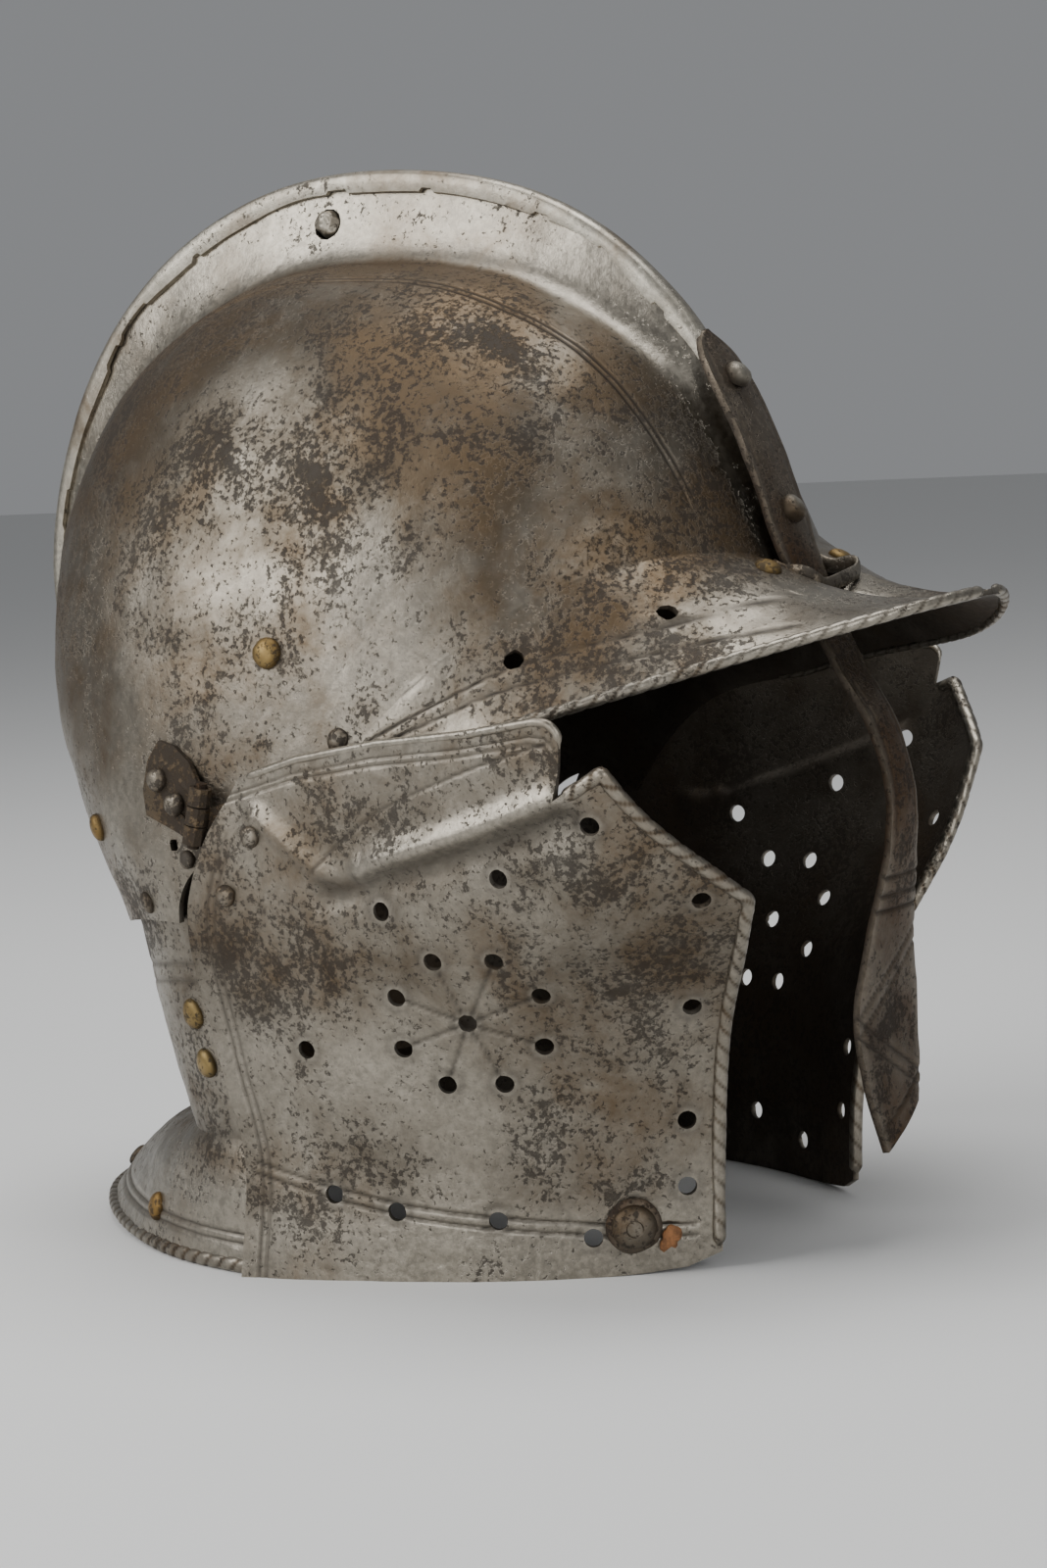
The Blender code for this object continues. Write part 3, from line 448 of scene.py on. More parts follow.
def guard_rows(extra_rows, count):
    """Neck guard, right half: rows from under the nape down to the waist and out
    to the rim. Waist and rim are superellipses in plan."""
    places = np.linspace(0, 1, count)
    _, nape = rim_angles(places)
    top = []
    for extra in (-5.0, 1.5):
        angle = np.minimum(nape + math.radians(extra), math.radians(192))
        point = skull_point(angle, places)
        flat = (point - np.array([0.0, 0.0, EAR_HEIGHT])) * np.array([1.0, 1.0, 0.0])
        top.append(point - flat / np.linalg.norm(flat, axis=1, keepdims=True) * (SHEET + 2 * GAP))
    turn = np.radians(90 * (1 - places))

    def ring(half, reach, power, height):
        x = -half * np.sin(turn) ** power
        y = reach * np.cos(turn) ** power + 0.010 * np.sin(turn) ** 4
        return np.stack([x, y, height], -1)

    waist = ring(WAIST_HALF, WAIST_REACH, 0.95, np.full(count, WAIST_HEIGHT))
    rim = ring(GUARD_HALF, GUARD_REACH, 1.25, GUARD_LIFT * np.cos(turn))
    down = np.linspace(0, 1, extra_rows)[:, None, None]
    neck = top[1] * (1 - down) + waist * down
    neck[..., 1] += 0.003 * np.sin(np.pi * down[..., 0]) * np.cos(turn)
    out = np.linspace(0, 1, extra_rows)[1:, None, None]
    flare = waist * (1 - out) + rim * out
    flare[..., 2] += 0.006 * np.sin(np.pi * out[..., 0])
    return np.concatenate([top[0][None], neck, flare])


# Meshes

# Stored values on the inside of every sheet, which was never polished
INSIDE = {"wear": 0.0, "grime": 0.62}


def new_object(name, points, faces, mat, slot, body, stands_for, sharp=38.0, **attributes):
    """One finished piece at the origin, with its values stored per point."""
    used, inverse = np.unique(np.concatenate([np.ravel(f) for f in faces]), return_inverse=True)
    sizes = [np.shape(f) for f in faces]
    packed = []
    start = 0
    for count, corners in sizes:
        packed.extend(inverse[start:start + count * corners].reshape(count, corners).tolist())
        start += count * corners
    mesh = bpy.data.meshes.new(name)
    mesh.from_pydata(points[used].tolist(), [], packed)
    for key, values in attributes.items():
        data = mesh.attributes.new(key, "FLOAT", "POINT")
        data.data.foreach_set("value", np.asarray(values, np.float32)[used])
    mesh.materials.append(mat)
    mesh.shade_smooth()
    mesh.set_sharp_from_angle(angle=math.radians(sharp))
    mesh.validate()
    obj = bpy.data.objects.new(name, mesh)
    bpy.context.scene.collection.objects.link(obj)
    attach(obj, body)
    if stands_for:
        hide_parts(*stands_for)
    return obj


def quads_of(rows, cols):
    index = np.arange(rows * cols).reshape(rows, cols)
    return np.stack([index[:-1, :-1], index[1:, :-1], index[1:, 1:], index[:-1, 1:]], -1)


def sheet(name, outer, inner, mat, slot, body, stands_for=(), keep=None, inside=INSIDE, **attributes):
    """Closed sheet metal from an outside and an inside grid: their kept squares,
    and a wall along every edge that only one kept square has."""
    rows, cols = outer.shape[:2]
    count = rows * cols
    squares = quads_of(rows, cols)
    squares = squares.reshape(-1, 4) if keep is None else squares[keep]
    a = squares.ravel()
    b = np.roll(squares, -1, axis=1).ravel()
    single = ~np.isin(a * count + b, b * count + a)
    a, b = a[single], b[single]
    walls = np.stack([b, a, a + count, b + count], -1)
    under = squares[:, ::-1] + count
    points = np.concatenate([outer.reshape(-1, 3), inner.reshape(-1, 3)])
    corner = points[squares]
    facing = np.cross(corner[:, 1] - corner[:, 0], corner[:, 3] - corner[:, 0])
    outward = points[squares[:, 0]] - points[squares[:, 0] + count]
    faces = [squares, under, walls]
    if (facing * outward).sum() < 0:
        faces = [f[:, ::-1] for f in faces]
    values = {}
    for key, value in attributes.items():
        value = np.broadcast_to(value, (rows, cols)).ravel()
        values[key] = np.concatenate([value, np.full(value.shape, inside[key])])
    return new_object(name, points, faces, mat, slot, body, stands_for, **values)


def pierce(outer, inner, keep, centre, direction, radius):
    """Opens a round hole: squares whose middle is inside it go, and the points
    on its border move out or in to the circle."""
    direction = np.asarray(direction) / np.linalg.norm(direction)

    def offset(points):
        d = points - centre
        along = d @ direction
        flat = d - along[..., None] * direction
        return along, flat, np.linalg.norm(flat, axis=-1)

    middle = (outer[:-1, :-1] + outer[1:, :-1] + outer[1:, 1:] + outer[:-1, 1:]) / 4
    along, _, away = offset(middle)
    inside = (away < radius) & (np.abs(along) < 0.012)
    touched = np.zeros(outer.shape[:2], bool)
    beside = np.zeros(outer.shape[:2], bool)
    for mark, squares in ((touched, inside), (beside, keep & ~inside)):
        mark[:-1, :-1] |= squares
        mark[1:, :-1] |= squares
        mark[1:, 1:] |= squares
        mark[:-1, 1:] |= squares
    border = touched & beside
    for grid in (outer, inner):
        _, flat, away = offset(grid[border])
        grid[border] += flat * (radius / np.maximum(away, 1e-6) - 1)[:, None]
    keep &= ~inside


def tube_faces(rows, sides):
    index = np.arange(rows * sides).reshape(rows, sides)
    ahead = np.roll(index, -1, axis=1)
    wall = np.stack([index[:-1], index[1:], ahead[1:], ahead[:-1]], -1).reshape(-1, 4)
    return [wall, index[:1], index[-1:, ::-1]]


def resample(path, step):
    """Points at even distances along a path, on cubic pieces through it."""
    path = np.asarray(path, float)
    length = np.concatenate([[0], np.cumsum(np.linalg.norm(np.diff(path, axis=0), axis=1))])
    where = np.linspace(0, length[-1], max(4, int(length[-1] / step)))
    return np.stack([cubic(length, path[:, k], where) for k in range(3)], -1), where


def rope(name, path, up, radius, depth, pitch, mat, slot, body, stands_for=(), taper=0.006, flat=1.0, sides=14,
         fade=None, tone=0.75):
    """Turned edge: a round profile carried along a path. Its radius is cut by
    slanting grooves, the depth times the sixteenth power of a cosine that turns
    with the distance along the edge and round it, and eases to a point."""
    path, where = resample(path, pitch / 13 if depth > 0 else 0.0009)
    up = np.broadcast_to(up, path.shape) if np.ndim(up) == 1 else up
    ahead = np.gradient(path, axis=0)
    ahead /= np.linalg.norm(ahead, axis=1, keepdims=True)
    rise = up - (up * ahead).sum(1)[:, None] * ahead
    rise /= np.linalg.norm(rise, axis=1, keepdims=True)
    side = np.cross(ahead, rise)
    around = np.linspace(0, 2 * math.pi, sides, endpoint=False)
    groove = np.cos(math.pi * where[:, None] / pitch + around[None, :]) ** 16
    strength = depth * np.ones(len(where)) if fade is None else depth * fade(where / where[-1])
    size = radius * (1 - strength[:, None] * groove)
    size = size + radius * 0.05 * noise(path / 0.006, 1.0, 7)[:, None]
    end = np.minimum(where, where[-1] - where) / taper
    size = size * (0.25 + 0.75 * smooth(end))[:, None]
    points = (
        path[:, None, :]
        + (size * np.cos(around))[..., None] * rise[:, None, :] * flat
        + (size * np.sin(around))[..., None] * side[:, None, :]
    )
    faces = tube_faces(len(path), sides)
    wear = np.clip(tone - 0.6 * groove * (strength[:, None] > 0.02), 0, 1)
    grime = 2.6 * groove * strength[:, None]
    return new_object(name, points.reshape(-1, 3), faces, mat, slot, body, stands_for, sharp=60,
                      wear=wear.ravel(), grime=grime.ravel())


def lathe(name, centre, direction, profile, mat, slot, body, stands_for=(), sides=28, wobble=0.03, seed=1, wear=0.6):
    """Turned solid: (radius, height) pairs carried round a direction. The first
    and the last pair are closed with a disc."""
    profile = np.asarray(profile, float)
    around = np.linspace(0, 2 * math.pi, sides, endpoint=False)
    frame_turn = Vector(direction).to_track_quat("Z", "Y").to_matrix()
    axes = np.array([list(frame_turn @ Vector(v)) for v in ((1, 0, 0), (0, 1, 0), (0, 0, 1))])
    unit = np.stack([np.cos(around), np.sin(around), 0 * around], -1)
    swell = 1 + wobble * noise(unit * 1.7 + seed * 3.1, 1.0, seed)
    points = (
        np.asarray(centre)
        + (profile[:, :1] * np.cos(around) * swell)[..., None] * axes[0]
        + (profile[:, :1] * np.sin(around) * swell)[..., None] * axes[1]
        + np.broadcast_to(profile[:, 1:], (len(profile), sides))[..., None] * axes[2]
    )
    faces = tube_faces(len(profile), sides)
    share = np.linspace(0, 1, len(profile))[:, None] * np.ones(sides)
    return new_object(name, points.reshape(-1, 3), [f[:, ::-1] for f in faces], mat, slot, body, stands_for,
                      sharp=50, wear=(wear * share).ravel(), grime=(0.7 * (1 - share) ** 2).ravel())


# Materials


def nodes_for(name):
    mat = bpy.data.materials.new(name)
    mat.use_nodes = True
    tree = mat.node_tree
    return mat, tree, tree.nodes["Principled BSDF"]


def add(tree, kind, inputs=(), **settings):
    """A node with its settings, and its inputs linked or set by name or number."""
    node = tree.nodes.new(kind)
    for key, value in settings.items():
        setattr(node, key, value)
    for key, value in dict(inputs).items():
        socket = node.inputs[key]
        if isinstance(value, bpy.types.NodeSocket):
            tree.links.new(value, socket)
        else:
            socket.default_value = value
    return node


def ramp(tree, source, low, high):
    """Straight ramp from 0 at low to 1 at high, eased."""
    node = add(tree, "ShaderNodeMapRange", {"Value": source, "From Min": low, "From Max": high},
               interpolation_type="SMOOTHSTEP")
    return node.outputs["Result"]


def blend(tree, factor, first, second):
    node = add(tree, "ShaderNodeMix", {0: factor, 6: first, 7: second}, data_type="RGBA")
    return node.outputs[2]


def math_node(tree, operation, first, second):
    return add(tree, "ShaderNodeMath", {0: first, 1: second}, operation=operation).outputs[0]


def noise_node(tree, where, scale, detail=6.0, rough=0.6, distortion=0.0):
    node = add(tree, "ShaderNodeTexNoise",
               {"Vector": where, "Scale": scale, "Detail": detail, "Roughness": rough, "Distortion": distortion})
    return node.outputs["Fac"]


def steel_material(name, bright, patina, grime, rubbed=0.5, speckle=0.5, gloss=0.36, pit=0.5):
    """Old steel: rubbed metal under a patchy brown film, with dark pits in
    swarms. The stored wear clears the film, and also paints highlights; the
    stored grime lays dirt in cuts and paints shade in corners and recesses."""
    mat, tree, shader = nodes_for(name)
    where = add(tree, "ShaderNodeTexCoord").outputs["Object"]
    wear = add(tree, "ShaderNodeAttribute", attribute_name="wear").outputs["Fac"]
    dirt_and_shade = add(tree, "ShaderNodeAttribute", attribute_name="grime").outputs["Fac"]
    cloud = noise_node(tree, where, 13.0, 8.0, 0.60, 0.5)
    blotch = noise_node(tree, where, 55.0, 9.0, 0.72, 0.3)
    grain = noise_node(tree, where, 520.0, 4.0, 0.7)
    fleck = noise_node(tree, where, 640.0, 4.0, 0.66)
    spot = noise_node(tree, where, 270.0, 8.0, 0.72)
    swarm = noise_node(tree, where, 34.0, 6.0, 0.68, 0.5)

    def times(a, b):
        return math_node(tree, "MULTIPLY", a, b)

    def plus(a, b):
        return math_node(tree, "ADD", a, b)

    film = plus(plus(times(cloud, 0.8), times(blotch, 0.7)), times(grain, 0.18))
    film = plus(film, times(wear, -0.42))
    film = ramp(tree, film, 0.66 - 0.42 * rubbed, 1.10 - 0.42 * rubbed)
    dull = tuple(0.62 * c for c in bright)
    worn = blend(tree, ramp(tree, plus(grain, times(blotch, 0.5)), 0.55, 0.95), (*dull, 1), (*bright, 1))
    warm = tuple(a * b for a, b in zip(patina, (1.42, 1.22, 1.00)))
    brown = blend(tree, ramp(tree, cloud, 0.40, 0.62), (*patina, 1), (*warm, 1))
    colour = blend(tree, film, worn, brown)
    crowd = plus(times(swarm, 0.60), plus(times(film, 0.05), times(wear, -0.07)))
    small = ramp(tree, plus(times(fleck, 0.80), crowd), 0.775 - 0.09 * speckle, 0.875 - 0.09 * speckle)
    large = ramp(tree, plus(times(spot, 0.80), crowd), 0.815 - 0.07 * speckle, 0.91 - 0.07 * speckle)
    spots = times(math_node(tree, "MAXIMUM", small, large), 0.78)
    cover = math_node(tree, "MAXIMUM", spots, times(dirt_and_shade, 0.9))
    colour = blend(tree, cover, colour, (*grime, 1))
    tree.links.new(colour, shader.inputs["Base Color"])
    rough = plus(plus(times(film, 0.14), gloss), plus(times(cover, 0.24), times(grain, 0.10)))
    tree.links.new(rough, shader.inputs["Roughness"])
    tree.links.new(plus(1.0, times(cover, -0.45)), shader.inputs["Metallic"])
    height = plus(plus(times(blotch, 0.8), times(cover, -0.8)), times(grain, 0.35))
    bump = add(tree, "ShaderNodeBump", {"Strength": pit, "Distance": 0.0005, "Height": height})
    tree.links.new(bump.outputs["Normal"], shader.inputs["Normal"])
    return mat


def leather_material(name, colour):
    mat, tree, shader = nodes_for(name)
    where = add(tree, "ShaderNodeTexCoord").outputs["Object"]
    grain = noise_node(tree, where, 600.0, 6.0, 0.7)
    shade = blend(tree, ramp(tree, grain, 0.35, 0.65), (*(0.45 * c for c in colour), 1), (*colour, 1))
    tree.links.new(shade, shader.inputs["Base Color"])
    shader.inputs["Roughness"].default_value = 0.8
    bump = add(tree, "ShaderNodeBump", {"Strength": 0.6, "Distance": 0.0004, "Height": grain})
    tree.links.new(bump.outputs["Normal"], shader.inputs["Normal"])
    return mat


def metal(name):
    """The named material, made the first time that it is asked for."""
    known = bpy.data.materials.get(name)
    if known is not None:
        return known
    c = bpy.context.scene.burgonet_colours
    iron = ((0.21, 0.175, 0.135), (0.060, 0.042, 0.029))
    steel = (tuple(c.bright), tuple(c.patina))
    steels = {
        "bowl steel": (*steel, dict(rubbed=0.52, speckle=0.50, gloss=0.27, pit=0.50)),
        # Comb steel is a brighter copy of the steel: rubbed metal, and partly a painted highlight on the comb.
        "comb steel": ((0.62, 0.58, 0.49), steel[1], dict(rubbed=0.90, speckle=0.45, gloss=0.30, pit=0.45)),
        "cheek steel": (*steel, dict(rubbed=0.36, speckle=0.75, gloss=0.31, pit=0.70)),
        "rim steel": (*steel, dict(rubbed=0.62, speckle=0.60, gloss=0.30, pit=0.60)),
        "forged iron": (*iron, dict(rubbed=0.30, speckle=0.90, gloss=0.40, pit=0.80)),
    }
    if name in steels:
        bright, patina, finish = steels[name]
        return steel_material(name, bright, patina, tuple(c.grime), **finish)
    if name == "capped brass":
        brown = tuple(0.40 * v for v in c.brass)
        return steel_material(name, tuple(c.brass), brown, tuple(c.grime), rubbed=0.75, speckle=0.35,
                              gloss=0.30, pit=0.35)
    return leather_material(name, tuple(c.leather))


# Pieces


def skull_relief(points, angle, place, row, side, sizes):
    """Depth cut into the skull's outside at each point, and how dark it is."""
    cut = np.zeros(place.shape)
    degrees = np.degrees(angle)
    fan = row >= 0
    along = smooth((degrees - 42) / 8) * (1 - smooth((degrees - 96) / 26))
    fine = 0.55 * sizes.line_width
    for spot in COMB_LINES:
        cut += bell((place - spot) * 0.14, fine) * along * fan
    y, z = points[..., 1], points[..., 2]
    for line in BROW_LINES:
        low = smooth((np.abs(points[..., 0]) - 0.012) / 0.010)
        cut += bell(line_distance(y, z, line), 1.3 * fine) * low
    return cut


def peak_slot_cut(outer, keep):
    """Opens the slot at the peak's root for the nasal bar."""
    middle = (outer[:-1, :-1] + outer[1:, :-1] + outer[1:, 1:] + outer[:-1, 1:]) / 4
    root_y = EAR_BACK - 0.735 * CREST_RADIUS * math.cos(math.radians(33)) - 0.0045
    root_z = EAR_HEIGHT + 0.735 * CREST_RADIUS * math.sin(math.radians(33)) - 0.002
    inside = (
        (np.abs(middle[..., 0]) < 0.59 * BAR_WIDTH)
        & (np.abs(middle[..., 1] - root_y) < 0.0058)
        & (np.abs(middle[..., 2] - root_z) < 0.011)
    )
    keep &= ~inside


def make_half(side, sizes):
    """One half of the skull with its share of comb and peak. Rows run from the
    peak's edge (-1) over the brow (0) to the nape (1)."""
    places = spread(132, 0, 1, COMB_LINES, 0.010, 7.0)
    ahead = -spread(46, 0, 1, (0.0, 0.1, 0.2), 0.08, 1.5)[::-1]
    back = spread(225, 0, 1, (0.0, 0.05), 0.05, 1.5)
    brow, nape = rim_angles(places)
    root = skull_point(brow, places)
    edge = peak_edge(root, PEAK_DROP[side])
    reach = np.clip(np.linalg.norm(edge - root, axis=1) / (PEAK_REACH - 0.11), 0, 1)
    share = -ahead[:, None, None]
    front = root * (1 - share) + edge * share
    front[..., 2] -= PEAK_SAG * np.sin(np.pi * share[..., 0]) * reach
    angle = brow + (nape - brow) * back[1:, None]
    bowl = skull_point(angle, np.broadcast_to(places, angle.shape))
    outer = np.concatenate([front, bowl])
    angle = np.concatenate([np.broadcast_to(brow, front.shape[:2]), angle])
    row = np.concatenate([ahead, back[1:]])[:, None] + 0 * angle
    place = np.broadcast_to(places, angle.shape)
    closed = np.maximum(row[:, -1] < 0, smooth((np.degrees(angle[:, -1]) - FOLD_SPAN[1] - 4) / 8))
    outer[:, -1, 0] = -CREST_HALF + (CREST_HALF - GAP / 2) * closed
    out = normals(outer)
    seed = 11 if side < 0 else 23
    wave = noise(outer, 0.021, seed) + 0.55 * noise(outer, 0.009, seed + 1) + 0.25 * noise(outer, 0.0042, seed + 2)
    calm = smooth((1 - place) / 0.04)
    cut = skull_relief(outer, angle, place, row, side, sizes)
    pits = np.clip(noise(outer, 0.0024, seed + 3) - 0.45, 0, 1) * 1.8
    flat_zone = 0.35 + 0.65 * smooth((noise(outer, 0.04, seed + 4) + 0.3) / 0.6)
    lift = sizes.hammer * wave * calm - sizes.line_depth * np.clip(cut, 0, 1) - sizes.pits * pits * calm * flat_zone
    inner = outer - out * SHEET
    inner[..., 0] = np.minimum(inner[..., 0], -GAP / 2)
    outer = outer + out * lift[..., None]
    outer[..., 0] = np.minimum(outer[..., 0], -GAP / 2)
    keep = np.ones((outer.shape[0] - 1, outer.shape[1] - 1), bool)
    peak_slot_cut(outer, keep)
    for degrees, spot in SKULL_HOLES:
        at = skull_point(np.array(math.radians(degrees)), np.array(spot))
        pierce(outer, inner, keep, at, at - np.array([0, EAR_BACK, EAR_HEIGHT]), BREATH_HOLE)
    at = skull_point(np.array(math.radians(COMB_PLUG[0])), np.array(COMB_PLUG[1]))
    at[0] = 0
    pierce(outer, inner, keep, at, (1, 0, 0), PLUG_HOLE)
    if side < 0:
        away = np.abs(outer[..., 1] - TORN_SLOT[0]) + np.abs(outer[..., 2] - TORN_SLOT[1]) + (place > 0.5)
        at = outer.reshape(-1, 3)[np.argmin(away)]
        pierce(outer, inner, keep, at, (-1, 0, 0), 0.0017)
    comb = smooth((place - 0.60) / 0.12)
    low_bowl = smooth((noise(outer, 0.03, seed + 6) + 0.1) / 0.8)
    low_down = 1 - smooth((outer[..., 2] - 0.140) / 0.085)
    on_peak = smooth(-row / 0.25)
    # Comb lighter from rubbing; lower bowl (low_down) lighter, a painted highlight as well as rubbing; upper back of
    # the bowl darker.
    wear = 0.22 * low_bowl + 0.80 * comb * (1 - on_peak) + 0.20 * on_peak + 0.42 * low_down * (1 - on_peak)
    wear = wear - 0.22 * smooth((np.degrees(angle) - 60) / 40) * (1 - comb) * (1 - low_down)
    # Painted shade, with some dirt, in the corner where the comb rises from the bowl.
    corner = bell(place - 0.66, 0.05) * (row > 0) * smooth((np.degrees(angle) - 50) / 40)
    grime = np.clip(cut + 0.25 * corner, 0, 1)
    if side > 0:
        outer, inner = mirrored(outer), mirrored(inner)
    node = "skull_" + WORD[side]
    sheet(node + "_skin", outer, inner, metal("bowl steel"), "worn_steel", HELMET, [node], keep,
          wear=np.clip(wear, 0, 1), grime=grime)
    # Roped roll along the edge of the peak
    x = np.abs(root[:, 0])
    far = x < PEAK_HALF - 0.0045
    path = edge[far]
    path = path + np.array([0.0, 0.0009, -0.0004])
    path[:, 0] = np.minimum(path[:, 0], -0.0019)
    if side > 0:
        path = mirrored(path)
    rope("peak_roll_" + WORD[side], path[::3], np.array([0.0, 0.0, 1.0]), sizes.roll * 0.76, sizes.rope_depth,
         sizes.rope_pitch, metal("rim steel"), "worn_steel", HELMET, taper=0.004)
    return outer


def make_slot_lip(halves, sizes):
    """Raised lip round the slot for the bar: a plain roll along a rounded
    rectangle, laid on the peak by the nearest point of its outside in plan."""
    turn = np.radians(np.linspace(95, 445, 90))
    half_x, half_y = 0.62 * BAR_WIDTH, 0.0068
    x = half_x * np.sign(np.cos(turn)) * np.abs(np.cos(turn)) ** 0.35
    y = half_y * np.sign(np.sin(turn)) * np.abs(np.sin(turn)) ** 0.35
    y = y + EAR_BACK - 0.735 * CREST_RADIUS * math.cos(math.radians(33)) - 0.0045
    ground = np.concatenate([g.reshape(-1, 3) for g in halves])
    ground = ground[(np.abs(ground[:, 0]) < 0.03) & (ground[:, 2] < 0.21) & (ground[:, 2] > 0.14)]
    away = (ground[None, :, 0] - x[:, None]) ** 2 + (ground[None, :, 1] - y[:, None]) ** 2
    z = ground[np.argmin(away, axis=1), 2]
    z = np.convolve(np.pad(z, 9, mode="edge"), np.ones(19) / 19, mode="valid")
    fore = smooth((y.mean() - y) / half_y)
    z = z + 0.0002 + 0.0024 * fore * smooth(0.5 + x / half_x / 2)
    path = np.stack([x, y, z], -1)
    rope("peak_slot_lip", path[::2], np.array([0.0, 0.0, 1.0]), 0.0009, 0.0, sizes.rope_pitch, metal("rim steel"),
         "worn_steel", HELMET, taper=0.002, flat=2.2, tone=0.3)


def make_fold(sizes):
    """The left half's edge, turned over the crest of the comb: a hooked outline
    carried back along the comb, with torn steps in its lower edge."""
    steps = 420
    degrees = np.linspace(FOLD_SPAN[0] - 14, FOLD_SPAN[1] + 12, steps)
    angles = np.radians(degrees)
    _, crest = section(angles, np.ones(steps))
    tall = 0.0040 + 0.0012 * noise(np.stack([degrees / 7, 0 * degrees, 0 * degrees], -1), 1.0, 3)
    torn = noise(np.stack([degrees / 2.2, 0 * degrees, 0 * degrees], -1), 1.0, 5)
    tall = tall * np.where(torn > 0.35, 0.72, 1.0)
    tall = tall * np.interp(degrees, (45, 52, 60, 150, 161), (0.35, 0.55, 1.0, 0.9, 0.3))
    over = ((0.0022, 0.1), (0.0021, -0.45), (0.0010, -0.60), (-0.0012, -0.62), (-0.0026, -0.50), (-0.0034, -0.20),
            (-0.0038, 0.35), (-0.0037, 0.90), (-0.0027, 1.0))
    under = ((0.0012, 0.1), (0.0010, -0.10), (0.0004, -0.22), (-0.0012, -0.25), (-0.0019, -0.20), (-0.0021, 0.0),
             (-0.0022, 0.40), (-0.0023, 0.90), (-0.0024, 1.0))
    grids = []
    for path in (over, under):
        path = np.array(path)
        drop = np.where(path[:, 1] > 0, path[:, 1] * tall[:, None], path[:, 1] * 0.0030)
        radius = crest[:, None] - drop
        x = path[:, 0] + 0.0002 * noise(np.stack([degrees / 3, 0 * degrees, 0 * degrees], -1), 1.0, 9)[:, None]
        y = EAR_BACK - radius * np.cos(angles)[:, None]
        z = EAR_HEIGHT + radius * np.sin(angles)[:, None]
        grids.append(np.stack([x + 0 * y, y, z], -1))
    wear = np.full((steps, len(over)), 0.95)
    grime = np.zeros((steps, len(over)))
    sheet("comb_fold", grids[0], grids[1], metal("comb steel"), "worn_steel", HELMET, [],
          inside={"wear": 0.8, "grime": 0.25}, wear=wear, grime=grime)


def make_plug():
    """Lump that fills the hole through the comb: a ball flattened along its
    axis, with a broken surface from noise."""
    angle = math.radians(COMB_PLUG[0])
    at = skull_point(np.array(angle), np.array(COMB_PLUG[1]))
    half = abs(at[0]) + 0.0021
    at[0] = 0
    turn, tip = np.meshgrid(np.linspace(0, 2 * math.pi, 40, endpoint=False), np.linspace(0.02, math.pi - 0.02, 32))
    unit = np.stack([np.cos(tip), np.sin(tip) * np.cos(turn), np.sin(tip) * np.sin(turn)], -1)
    boxy = np.sign(unit[..., 0]) * np.abs(unit[..., 0]) ** 0.45
    points = np.stack([boxy * half, unit[..., 1] * (PLUG_HOLE - 0.0004), unit[..., 2] * (PLUG_HOLE - 0.0003)], -1)
    rough = 1 + 0.13 * noise(points, 0.0026, 5) + 0.05 * noise(points, 0.0011, 6)
    points = points * rough[..., None]
    points[..., 1:] = np.clip(points[..., 1:], -PLUG_HOLE - 0.0006, PLUG_HOLE + 0.0006)
    points = points + at
    new_object("comb_plug_lump", points.reshape(-1, 3), tube_faces(32, 40), metal("comb steel"), "dark_steel", HELMET,
               ["comb_plug"], sharp=70, wear=np.full(1280, 0.85), grime=np.zeros(1280))


def bar_spine(count):
    """Middle line of the bar, its width and its outward direction."""
    angle = np.radians(np.linspace(BAR_STEM[0], BAR_STEM[1], 6))
    _, crest = section(angle, np.ones(6))
    crest = crest + GAP + BAR_SHEET
    y = np.concatenate([EAR_BACK - crest * np.cos(angle), -PEAK_REACH * BAR_STATIONS[:, 0]])
    z = np.concatenate([EAR_HEIGHT + crest * np.sin(angle), PEAK_TIP_HEIGHT * BAR_STATIONS[:, 1]])
    width = BAR_WIDTH * np.concatenate([[0.62, 0.96, 1.0, 1.0, 1.0, 0.95], BAR_STATIONS[:, 2]])
    knots = np.arange(len(y))
    steps = np.linspace(0, len(y) - 1, count)
    y, z, width = (cubic(knots, v, steps) for v in (y, z, width))
    out = np.stack([0 * y, np.gradient(z), -np.gradient(y)], -1)
    out /= np.linalg.norm(out, axis=1, keepdims=True)
    return np.stack([0 * y, y, z], -1), width, out


